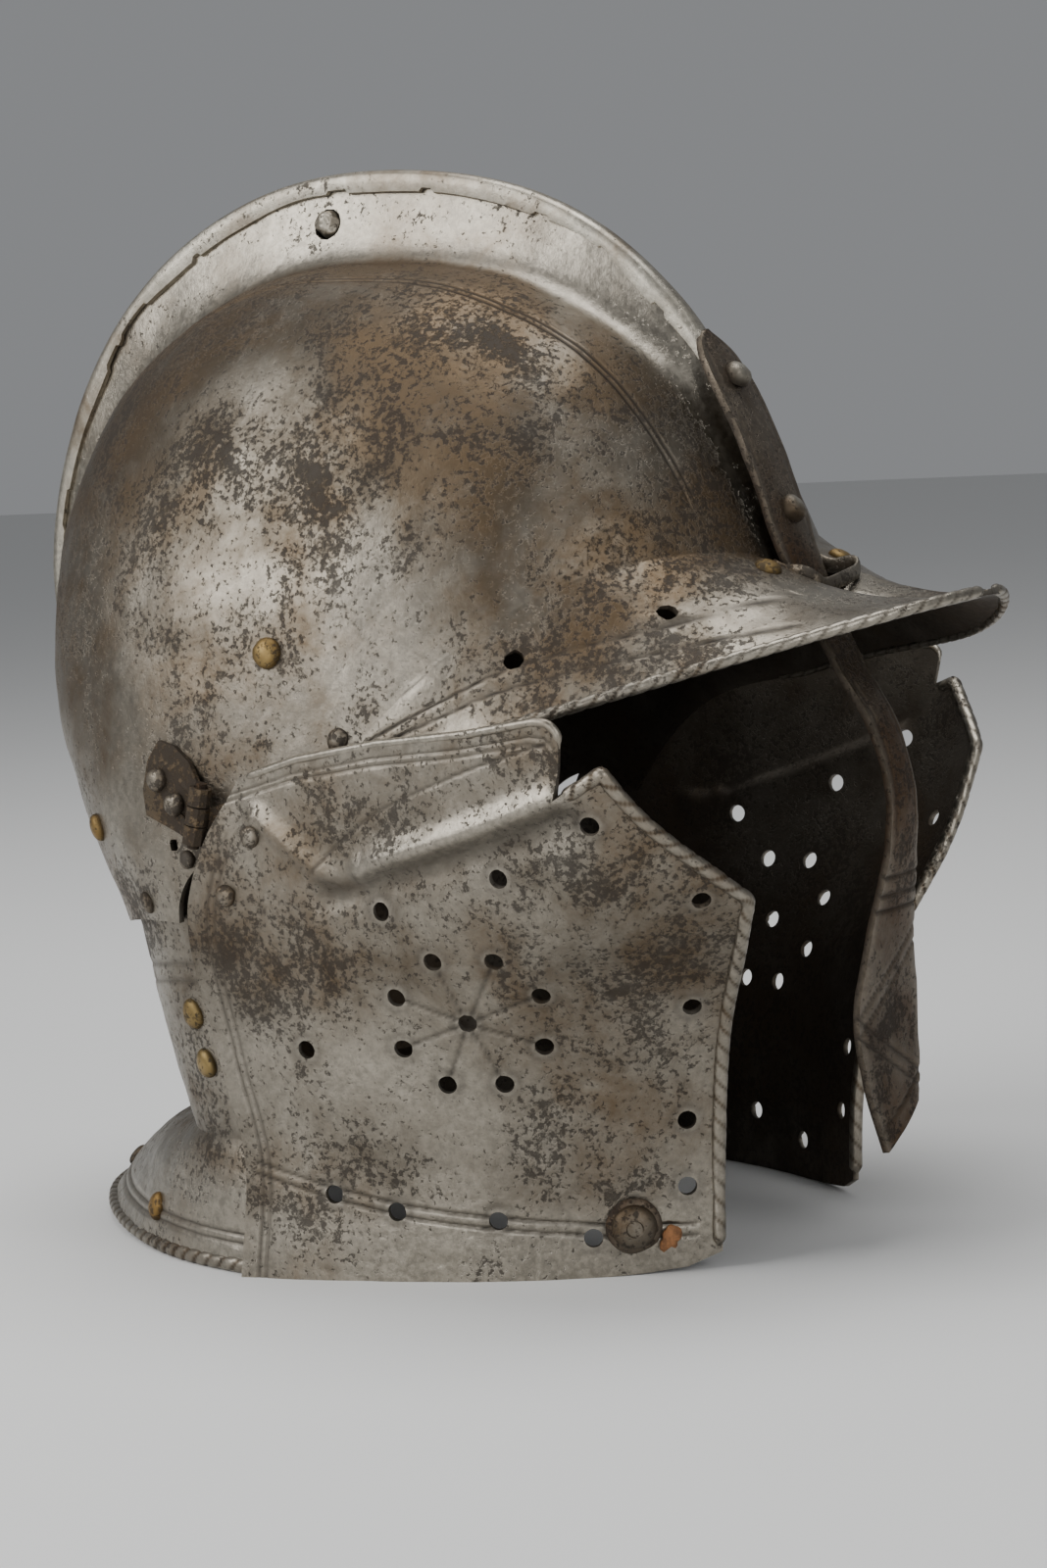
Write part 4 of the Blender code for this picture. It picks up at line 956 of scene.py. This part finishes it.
def make_bar(sizes):
    """Nasal bar: a flat profile, a little crowned, carried down its middle line.
    The top is rounded off and the lower end broken along a slant."""
    rows, cols = 300, 25
    spine, width, out = bar_spine(rows)
    across = np.linspace(-1, 1, cols)
    where = np.concatenate([[0], np.cumsum(np.linalg.norm(np.diff(spine, axis=0), axis=1))])
    cap = np.sqrt(np.clip(1 - (1 - where / 0.009).clip(0, 1) ** 2, 0.06, 1))
    half = width / 2 * cap
    ragged = 1 + 0.03 * noise(np.stack([where / 0.006, 0 * where, 0 * where], -1), 1.0, 2)
    points = spine[:, None, :] + (half * ragged)[:, None, None] * across[None, :, None] * np.array([1.0, 0, 0])
    end = where[-1] - where
    slant = np.clip(1 - end / 0.030, 0, 1)[:, None] * (across[None, :] + 1) * 0.5
    points[..., 2] += 0.010 * slant
    facing = np.broadcast_to(out[:, None, :], points.shape)
    crown = 0.0007 * (1 - across**2)[None, :]
    cut = np.zeros(points.shape[:2])
    y, z, x = points[..., 1], points[..., 2], points[..., 0]
    low = smooth((0.100 - z) / 0.005)
    for height, lean in ((0.095, 0.0), (0.0905, 0.0), (0.0865, 0.0), (0.072, 0.7), (0.067, 0.7), (0.050, -0.6),
                         (0.0455, -0.6), (0.036, 0.5)):
        cut += bell(z - height - lean * x, 0.0006) * low
    edge_line = bell((1 - np.abs(across))[None, :] * half[:, None] - 0.0021, 0.0006)
    cut += edge_line * smooth((z - 0.10) / 0.01) * 0.6
    wave = noise(points, 0.011, 31) + 0.5 * noise(points, 0.004, 32)
    lift = crown + 0.00018 * wave - 0.0004 * np.clip(cut, 0, 1)
    outer = points + facing * lift[..., None]
    inner = points - facing * BAR_SHEET
    wear = np.clip(0.15 + 0.75 * np.abs(across)[None, :] ** 6 + 0.2 * wave, 0, 1) * np.ones(points.shape[:2])
    sheet("nasal_bar_strap", outer, inner, metal("forged iron"), "dark_steel", HELMET, ["nasal_bar"], wear=wear,
          grime=np.clip(0.8 * cut, 0, 1))
    for name, share in (("bar_rivet_upper", 0.22), ("bar_rivet_lower", 0.80)):
        turn = math.radians(BAR_STEM[0] + (BAR_STEM[1] - BAR_STEM[0]) * share)
        _, crest = section(np.array(turn), np.array(1.0))
        out = np.array([0, -math.cos(turn), math.sin(turn)])
        spot = np.array([0, EAR_BACK, EAR_HEIGHT]) + out * (crest + GAP + BAR_SHEET + 0.0006)
        knob = ((0.0034, -0.0006), (0.0036, 0.0008), (0.0034, 0.0022), (0.0026, 0.0032), (0.0014, 0.0037), (0.0002, 0.0038))
        lathe(name + "_head", spot, out, knob, metal("comb steel"), "worn_steel", HELMET, [name], wobble=0.12,
              seed=len(name), wear=0.9)


def both_ways(right):
    """The right half and its mirror image as one grid, the middle shared."""
    return np.concatenate([right, mirrored(right[:, ::-1])[:, 1:]], axis=1)


def make_guard(sizes):
    """Neck guard with two stepped lines round the neck and a roped rim."""
    outer = both_ways(guard_rows(64, 131))
    out = normals(outer)
    z = outer[..., 2]
    row = np.linspace(0, 1, outer.shape[0])[:, None] + 0 * z
    cut = np.zeros(z.shape)
    step = np.zeros(z.shape)
    for level, depth in ((0.10, 0.7), (0.14, 0.7)):
        cut += bell((row - level) * 0.11, 0.0007) * depth
    step += smooth((row - 0.12) / 0.02) * 0.0006 - 0.0006
    cut += bell((row - 0.93) * 0.11, 0.0007) + bell((row - 0.905) * 0.11, 0.0007)
    wave = noise(outer, 0.019, 51) + 0.5 * noise(outer, 0.008, 52) + 0.25 * noise(outer, 0.004, 53)
    pits = np.clip(noise(outer, 0.0024, 54) - 0.4, 0, 1) * 1.7
    lift = sizes.hammer * wave - sizes.line_depth * np.clip(cut, 0, 1) - sizes.pits * pits
    inner = outer - out * SHEET
    outer = outer + out * (lift + np.minimum(step, 0) * 0.5)[..., None]
    outer[..., 2] = np.maximum(outer[..., 2], 0.0002)
    inner[..., 2] = np.maximum(inner[..., 2], 0.0)
    waist = bell((row - 0.52) * 0.11, 0.006)
    grime = np.clip(0.8 * cut + 0.35 * waist, 0, 1)
    wear = np.clip(0.25 + 0.3 * noise(outer, 0.03, 56) + 0.5 * smooth((row - 0.6) / 0.3), 0, 1)
    sheet("neck_guard_plate", outer, inner, metal("cheek steel"), "worn_steel", HELMET, ["neck_guard"], wear=wear,
          grime=grime)
    rim = both_ways(guard_rows(8, 131))[-1]
    inward = -rim * np.array([1.0, 1.0, 0.0])
    inward /= np.linalg.norm(inward, axis=1, keepdims=True)
    path = rim + inward * 0.0014
    path[:, 2] = np.maximum(path[:, 2] + 0.0006, sizes.roll)
    rope("neck_guard_roll", path[::3], np.array([0.0, 0.0, 1.0]), sizes.roll, sizes.rope_depth, sizes.rope_pitch,
         metal("rim steel"), "worn_steel", HELMET, taper=0.004)


def cheek_frame(side, share, height):
    """Point on a cheekpiece at shares of its reach and height, and outward."""
    reach = 1.0 if side < 0 else float(cubic(LEFT_REACH[:, 0], LEFT_REACH[:, 1], height))
    z = height * CHEEK_HEIGHT
    at = [cheek_surface(np.array(share * reach + a), np.array(z + b)) for a, b in ((0, 0), (0.01, 0), (0, 0.0015))]
    out = np.cross(at[2] - at[0], at[1] - at[0])
    out /= np.linalg.norm(out)
    if out[0] > 0:
        out = -out
    if side > 0:
        return mirrored(at[0]), mirrored(out)
    return at[0], out


def cheek_outline(side, share, column):
    table = CHEEK_OUTLINE[side]
    return np.interp(share, table[:, 0], table[:, column])


def flower_rays():
    """Thin lines from the flower's middle hole to the eight round it."""
    rays = []
    middle, _ = cheek_frame(-1, *FLOWER)
    for k in range(8):
        a = math.radians(45 * (k + 0.5))
        tip, _ = cheek_frame(-1, FLOWER[0] + FLOWER_SPREAD[0] * math.cos(a),
                             FLOWER[1] + FLOWER_SPREAD[1] * math.sin(a))
        rays.append(((middle[1] / MM, middle[2] / MM), (tip[1] / MM, tip[2] / MM)))
    return tuple(rays)


def make_cheek(side, sizes):
    """One cheekpiece: columns forwards, each from the bottom edge to the top,
    with embossed tab, border lines and the pierced flower."""
    table = CHEEK_OUTLINE[side]
    corners = table[4:11, 0]
    forward = np.unique(np.concatenate([spread(205, 0, 1, (*corners, 0.05), 0.02, 1.2), table[:, 0]]))
    up = spread(205, 0, 1, (0.12, 1.0), 0.05, 1.0)
    bottom = cheek_outline(side, forward, 1)
    top = cheek_outline(side, forward, 2)
    height = (bottom[:, None] + (top - bottom)[:, None] * up) * CHEEK_HEIGHT
    share = np.broadcast_to(forward[:, None], height.shape)
    if side > 0:
        share = share * cubic(LEFT_REACH[:, 0], LEFT_REACH[:, 1], height / CHEEK_HEIGHT)
    outer = cheek_surface(share, height)
    out = -normals(outer)
    y, z = outer[..., 1], outer[..., 2]
    if side > 0:
        y = y / 0.93
    line = np.zeros(y.shape)
    for curve in CHEEK_CURVES + flower_rays():
        line += bell(line_distance(y, z, curve), sizes.line_width)
    below_top = (top[:, None] - height / CHEEK_HEIGHT) * CHEEK_HEIGHT
    on_tab = smooth((table[7, 0] - forward) / 0.03)[:, None]
    for inset in (0.0042, 0.0060):
        line += bell(below_top - inset, sizes.line_width) * on_tab * 0.8
    behind = share * CHEEK_DEPTH * 1.2
    for inset in (0.0050, 0.0072):
        line += bell(behind - inset, sizes.line_width) * smooth((0.9 * top[:, None] * CHEEK_HEIGHT - height) / 0.01) * 0.7
    ridge = bell(line_distance(y, z, TAB_RIDGE), 0.0036) * RIDGE_HEIGHT
    recess = bell(line_distance(y, z, TAB_RECESS), 0.0042) * RECESS_DEPTH
    corner = bell(line_distance(y, z, CORNER_RIDGE), 0.0028) * 0.0016
    seed = 71 if side < 0 else 83
    wave = noise(outer, 0.020, seed) + 0.5 * noise(outer, 0.009, seed + 1) + 0.3 * noise(outer, 0.0042, seed + 2)
    pits = np.clip(noise(outer, 0.0024, seed + 3) - 0.42, 0, 1) * 1.8
    lift = sizes.hammer * wave - sizes.line_depth * np.clip(line, 0, 1) - sizes.pits * pits
    lift = lift + ridge - recess + corner
    inner = outer - out * SHEET + out * (np.minimum(ridge - recess + corner, 0.0))[..., None]
    outer = outer + out * lift[..., None]
    keep = np.ones((outer.shape[0] - 1, outer.shape[1] - 1), bool)
    petals = [FLOWER]
    for k in range(8):
        a = math.radians(45 * (k + 0.5))
        petals.append((FLOWER[0] + FLOWER_SPREAD[0] * math.cos(a), FLOWER[1] + FLOWER_SPREAD[1] * math.sin(a)))
    edge = np.minimum(1e3, 0 * y + 1)
    for spot, level in petals + list(CHEEK_HOLES):
        at, way = cheek_frame(-1 if side < 0 else 1, spot, level)
        if side > 0:
            at, way = mirrored(at), mirrored(way)
        pierce(outer, inner, keep, at, way, BREATH_HOLE)
        away = np.linalg.norm(outer - at, axis=-1)
        edge = np.minimum(edge, away)
    burr = bell(edge - BREATH_HOLE - 0.0004, 0.0007)
    # Tab ridge lighter: rubbed, and a painted highlight. Recess below it darker: painted shade in the undercut, with
    # some dirt.
    wear = 0.30 + 0.35 * noise(outer, 0.028, seed + 5) + 0.8 * ridge / RIDGE_HEIGHT + 0.25 * burr
    wear = wear + 0.35 * smooth((0.022 - z) / 0.01)
    grime = 0.6 * line + 0.55 * recess / RECESS_DEPTH + 0.35 * bell(edge - BREATH_HOLE - 0.0012, 0.0012)
    hinge = smooth((0.8 * CHEEK_HEIGHT - z) / 0.02) * smooth((y + 0.008) / 0.02)
    grime = grime + 0.2 * hinge
    rows = [outer, inner]
    if side > 0:
        rows = [mirrored(g) for g in rows]
    node = "cheek_" + WORD[side]
    body = CHEEK_BODY[side]
    sheet(node + "_plate", rows[0], rows[1], metal("cheek steel"), "worn_steel", body, [node], keep,
          wear=np.clip(wear, 0, 1), grime=np.clip(grime, 0, 1))
    make_cheek_rolls(side, sizes, body)


def edge_path(side, shares, column, inset):
    """Points along a cheekpiece's top or bottom edge, moved in by the inset."""
    shares = np.asarray(shares)
    height = cheek_outline(side, shares, column) * CHEEK_HEIGHT + inset
    if side > 0:
        shares = shares * cubic(LEFT_REACH[:, 0], LEFT_REACH[:, 1], height / CHEEK_HEIGHT)
    return cheek_surface(shares, height)


def make_cheek_rolls(side, sizes, body):
    """Roped roll from the tab's end over the point to the front corner, a plain
    turned edge down the front, and a low border along the tab."""
    table = CHEEK_OUTLINE[side]
    rope_shares = np.linspace(table[9, 0] + 0.004, 0.992, 22)
    path = edge_path(side, rope_shares, 2, -0.0014)
    path[:, 0] += 0.0005
    front_height = np.linspace(float(table[-1, 2]) - 0.006, 0.035, 24) * CHEEK_HEIGHT
    share = np.full(24, 0.992)
    if side > 0:
        share = share * cubic(LEFT_REACH[:, 0], LEFT_REACH[:, 1], front_height / CHEEK_HEIGHT)
    front = cheek_surface(share, front_height)
    front[:, 0] += 0.0004
    tab = edge_path(side, np.linspace(0.01, table[7, 0], 60), 2, -0.0006)
    tab[:, 0] += 0.0006
    name = WORD[side]
    top_edge = np.concatenate([path, front[1:]])
    if side > 0:
        top_edge, tab = mirrored(top_edge), mirrored(tab)

    def fade(t):
        return 0.35 + 0.45 * (1 - smooth((t - 0.36) / 0.10))

    away = np.array([-1.0 if side < 0 else 1.0, 0.0, 0.0])
    rope("cheek_roll_" + name, top_edge, away, sizes.roll * 0.88, sizes.rope_depth, sizes.rope_pitch,
         metal("rim steel"), "worn_steel", body, fade=fade, taper=0.003, tone=0.8)
    rope("cheek_tab_edge_" + name, tab, away, 0.0011, 0.0, sizes.rope_pitch, metal("rim steel"), "worn_steel", body,
         taper=0.003, tone=0.8)


def nearest_out(node, spot, out):
    """Middle of all the points of a plain solid of the frame."""
    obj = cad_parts[node]
    mesh = obj.data
    points = np.empty(len(mesh.vertices) * 3)
    mesh.vertices.foreach_get("co", points)
    points = points.reshape(-1, 3)
    mesh.calc_loop_triangles()
    index = np.empty(len(mesh.loop_triangles) * 3, np.int64)
    mesh.loop_triangles.foreach_get("vertices", index)
    a, b, c = (points[index.reshape(-1, 3)[:, k]] for k in range(3))
    return points.mean(0)


RIVETS = {
    "lining_rivet_side": ("capped brass", "brass_caps", 0.45),
    "lining_rivet_brow": ("capped brass", "brass_caps", 0.45),
    "lining_rivet_nape": ("capped brass", "brass_caps", 0.45),
    "lining_rivet_neck_upper": ("capped brass", "brass_caps", 0.45),
    "lining_rivet_neck_lower": ("capped brass", "brass_caps", 0.45),
    "guard_rivet_side": ("capped brass", "brass_caps", 0.45),
    "guard_rivet_back": ("rim steel", "worn_steel", 0.45),
    "brow_rivet": ("rim steel", "worn_steel", 0.50),
    "nape_rivet": ("rim steel", "worn_steel", 0.50),
    "ear_rivet": ("rim steel", "worn_steel", 0.50),
    "leaf_rivet_1": ("rim steel", "worn_steel", 0.60),
    "leaf_rivet_2": ("rim steel", "worn_steel", 0.60),
    "cheek_rivet_1": ("cheek steel", "worn_steel", 0.40),
    "cheek_rivet_2": ("cheek steel", "worn_steel", 0.40),
}


def seat_of(node):
    """Centre, direction, radius and height of a rivet head in the frame, from
    its flat underside: the least spread of its points is along its axis."""
    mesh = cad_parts[node].data
    points = np.empty(len(mesh.vertices) * 3)
    mesh.vertices.foreach_get("co", points)
    points = points.reshape(-1, 3)
    points = np.unique(np.round(points, 6), axis=0)
    middle = points.mean(0)
    _, _, axes = np.linalg.svd(points - middle)
    axis = axes[2]
    along = (points - middle) @ axis
    flat = points - middle - along[:, None] * axis
    wide = np.linalg.norm(flat, axis=1)
    if wide[along > np.median(along)].mean() > wide[along <= np.median(along)].mean():
        axis, along = -axis, -along
    base = along.min()
    low = points[along < base + 1e-4]
    return low.mean(0), axis, wide.max(), along.max() - base


def make_rivets():
    for kind, (finish, slot, tall) in RIVETS.items():
        for side in (-1, 1):
            node = kind + "_" + WORD[side]
            centre, axis, radius, height = seat_of(node)
            body = CHEEK_BODY[side] if kind.startswith("cheek") else HELMET
            turn = np.linspace(0, 1, 9)
            dome = [(radius * math.cos(t * math.pi / 2) ** 0.8, height * math.sin(t * math.pi / 2)) for t in turn[:-1]]
            profile = [(radius * 0.98, -0.0009), (radius, -0.0001)] + dome + [(radius * 0.06, height)]
            lathe(node + "_head", centre, axis, profile, metal(finish), slot, body, [node], wobble=0.09,
                  seed=len(kind) + side, wear=tall)


def make_chin():
    centre, axis, radius, height = seat_of("chin_stud")
    body = CHEEK_BODY[-1]
    stud = ((radius, -0.0004), (radius * 1.02, 0.0005), (radius * 0.96, 0.0016), (radius * 0.72, 0.0024),
            (radius * 0.40, 0.0027), (radius * 0.34, 0.0021), (radius * 0.05, 0.0021))
    lathe("chin_stud_head", centre, axis, stud, metal("rim steel"), "worn_steel", body, ["chin_stud"], wobble=0.03)
    seat = centre - axis * 0.0012
    disc = ((0.0070, -0.0004), (0.0072, 0.0004), (0.0066, 0.0010), (0.0050, 0.0011), (0.0002, 0.0011))
    lathe("chin_washer_disc", seat, axis, disc, metal("forged iron"), "dark_steel", body, ["chin_washer"],
          wobble=0.05, seed=4, wear=0.5)
    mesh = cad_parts["leather_scrap"].data
    points = np.empty(len(mesh.vertices) * 3)
    mesh.vertices.foreach_get("co", points)
    middle = points.reshape(-1, 3).mean(0)
    scrap = ((0.0026, -0.0008), (0.0031, -0.0002), (0.0029, 0.0004), (0.0020, 0.0008), (0.0002, 0.0007))
    lathe("leather_scrap_rest", middle, axis, scrap, metal("dry leather"), "leather_rest", body, ["leather_scrap"],
          wobble=0.45, seed=9, sides=22)


def make_hinges():
    """The frame's own leaves and pins stay, the leaves in rim steel and the pins in forged iron."""
    for side in (-1, 1):
        for kind in ("skull_leaf", "cheek_leaf", "hinge_pin"):
            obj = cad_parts["%s_%s" % (kind, WORD[side])]
            obj.data.materials.clear()
            obj.data.materials.append(metal("rim steel" if kind != "hinge_pin" else "forged iron"))


def cheek_stage():
    pass


class BURGONET_OT_skull(bpy.types.Operator):
    """Build both halves of the skull with their comb and peak"""

    bl_idname = "burgonet.skull"
    bl_label = "Skull, comb and peak"

    def execute(self, context):
        halves = [make_half(side, context.scene.burgonet_sizes) for side in (-1, 1)]
        make_slot_lip(halves, context.scene.burgonet_sizes)
        make_fold(context.scene.burgonet_sizes)
        make_plug()
        return {"FINISHED"}


class BURGONET_OT_bar(bpy.types.Operator):
    """Build the nasal bar and its two rivets"""

    bl_idname = "burgonet.bar"
    bl_label = "Nasal bar"

    def execute(self, context):
        make_bar(context.scene.burgonet_sizes)
        return {"FINISHED"}


class BURGONET_OT_guard(bpy.types.Operator):
    """Build the neck guard and its roped rim"""

    bl_idname = "burgonet.guard"
    bl_label = "Neck guard"

    def execute(self, context):
        make_guard(context.scene.burgonet_sizes)
        return {"FINISHED"}


class BURGONET_OT_cheeks(bpy.types.Operator):
    """Build the two cheekpieces and their turned edges"""

    bl_idname = "burgonet.cheeks"
    bl_label = "Cheekpieces"

    def execute(self, context):
        for side in (-1, 1):
            make_cheek(side, context.scene.burgonet_sizes)
        make_chin()
        return {"FINISHED"}


class BURGONET_OT_fastenings(bpy.types.Operator):
    """Build the rivets and finish the hinges"""

    bl_idname = "burgonet.fastenings"
    bl_label = "Rivets and hinges"

    def execute(self, context):
        make_rivets()
        make_hinges()
        return {"FINISHED"}


def add_light(name, spot, aim, size, power):
    light = bpy.data.lights.new(name, "AREA")
    light.shape = "RECTANGLE"
    light.size, light.size_y = size
    light.energy = power
    obj = bpy.data.objects.new(name, light)
    bpy.context.scene.collection.objects.link(obj)
    obj.location = spot
    obj.rotation_euler = (Vector(aim) - Vector(spot)).to_track_quat("-Z", "Y").to_euler()


class BURGONET_OT_stage(bpy.types.Operator):
    """Set up the pale floor, the soft lights and the camera"""

    bl_idname = "burgonet.stage"
    bl_label = "Studio"

    def execute(self, context):
        scene = context.scene
        mat, tree, shader = nodes_for("studio floor")
        shader.inputs["Base Color"].default_value = (*scene.burgonet_colours.floor, 1)
        shader.inputs["Roughness"].default_value = 0.9
        mesh = bpy.data.meshes.new("floor")
        reach = 6.0
        mesh.from_pydata([(-reach, -reach, 0), (reach, -reach, 0), (reach, reach, 0), (-reach, reach, 0)], [],
                         [(0, 1, 2, 3)])
        mesh.materials.append(mat)
        floor = bpy.data.objects.new("floor", mesh)
        scene.collection.objects.link(floor)
        world = bpy.data.worlds.new("studio")
        world.use_nodes = True
        world.node_tree.nodes["Background"].inputs["Color"].default_value = (0.80, 0.82, 0.85, 1)
        world.node_tree.nodes["Background"].inputs["Strength"].default_value = 0.30
        scene.world = world
        aim = (0.0, -0.02, 0.12)
        add_light("key softbox", (-0.95, 0.75, 0.95), aim, (0.9, 1.1), 16.0)
        add_light("front softbox", (-0.75, -1.45, 0.75), aim, (0.7, 1.0), 9.0)
        add_light("top softbox", (0.15, 0.0, 1.45), aim, (0.9, 0.9), 12.0)
        add_light("low fill", (-1.35, -0.10, 0.20), aim, (0.7, 0.35), 4.0)
        camera = bpy.data.cameras.new("camera")
        obj = bpy.data.objects.new("camera", camera)
        scene.collection.objects.link(obj)
        around, lift, roll = math.radians(-58), math.radians(6), math.radians(-3.3)
        back = Vector((math.sin(around) * math.cos(lift), -math.cos(around) * math.cos(lift), math.sin(lift)))
        right = Vector((math.cos(around), math.sin(around), 0))
        up = back.cross(right)
        turned = right * math.cos(roll) + up * math.sin(roll)
        upright = up * math.cos(roll) - right * math.sin(roll)
        pose = Matrix((turned, upright, back)).transposed().to_4x4()
        obj.matrix_world = Matrix.Translation(Vector((0, -0.025, 0.117)) + back * 1.0) @ pose
        camera.sensor_width = 36.0
        camera.lens = 36.0 * 1000 / 0.262 / 1600
        camera.clip_start = 0.05
        scene.camera = obj
        return {"FINISHED"}


class BURGONET_PT_panel(bpy.types.Panel):
    """Sizes, colours and the steps in order"""

    bl_idname = "BURGONET_PT_panel"
    bl_label = "Burgonet"
    bl_space_type = "VIEW_3D"
    bl_region_type = "UI"
    bl_category = "Burgonet"

    def draw(self, context):
        layout = self.layout
        for group in (context.scene.burgonet_sizes, context.scene.burgonet_colours):
            for key in group.__annotations__:
                layout.prop(group, key)
        for step in STEPS:
            layout.operator(step.bl_idname)


STEPS = (
    BURGONET_OT_skull,
    BURGONET_OT_bar,
    BURGONET_OT_guard,
    BURGONET_OT_cheeks,
    BURGONET_OT_fastenings,
    BURGONET_OT_stage,
)
CLASSES = (BurgonetSizes, BurgonetColours, *STEPS, BURGONET_PT_panel)


def register():
    for cls in CLASSES:
        bpy.utils.register_class(cls)
    bpy.types.Scene.burgonet_sizes = bpy.props.PointerProperty(type=BurgonetSizes)
    bpy.types.Scene.burgonet_colours = bpy.props.PointerProperty(type=BurgonetColours)


def unregister():
    del bpy.types.Scene.burgonet_colours
    del bpy.types.Scene.burgonet_sizes
    for cls in reversed(CLASSES):
        bpy.utils.unregister_class(cls)


def main():
    register()
    bpy.ops.burgonet.skull()
    bpy.ops.burgonet.bar()
    bpy.ops.burgonet.guard()
    bpy.ops.burgonet.cheeks()
    bpy.ops.burgonet.fastenings()
    bpy.ops.burgonet.stage()


if __name__ == "__main__":
    main()
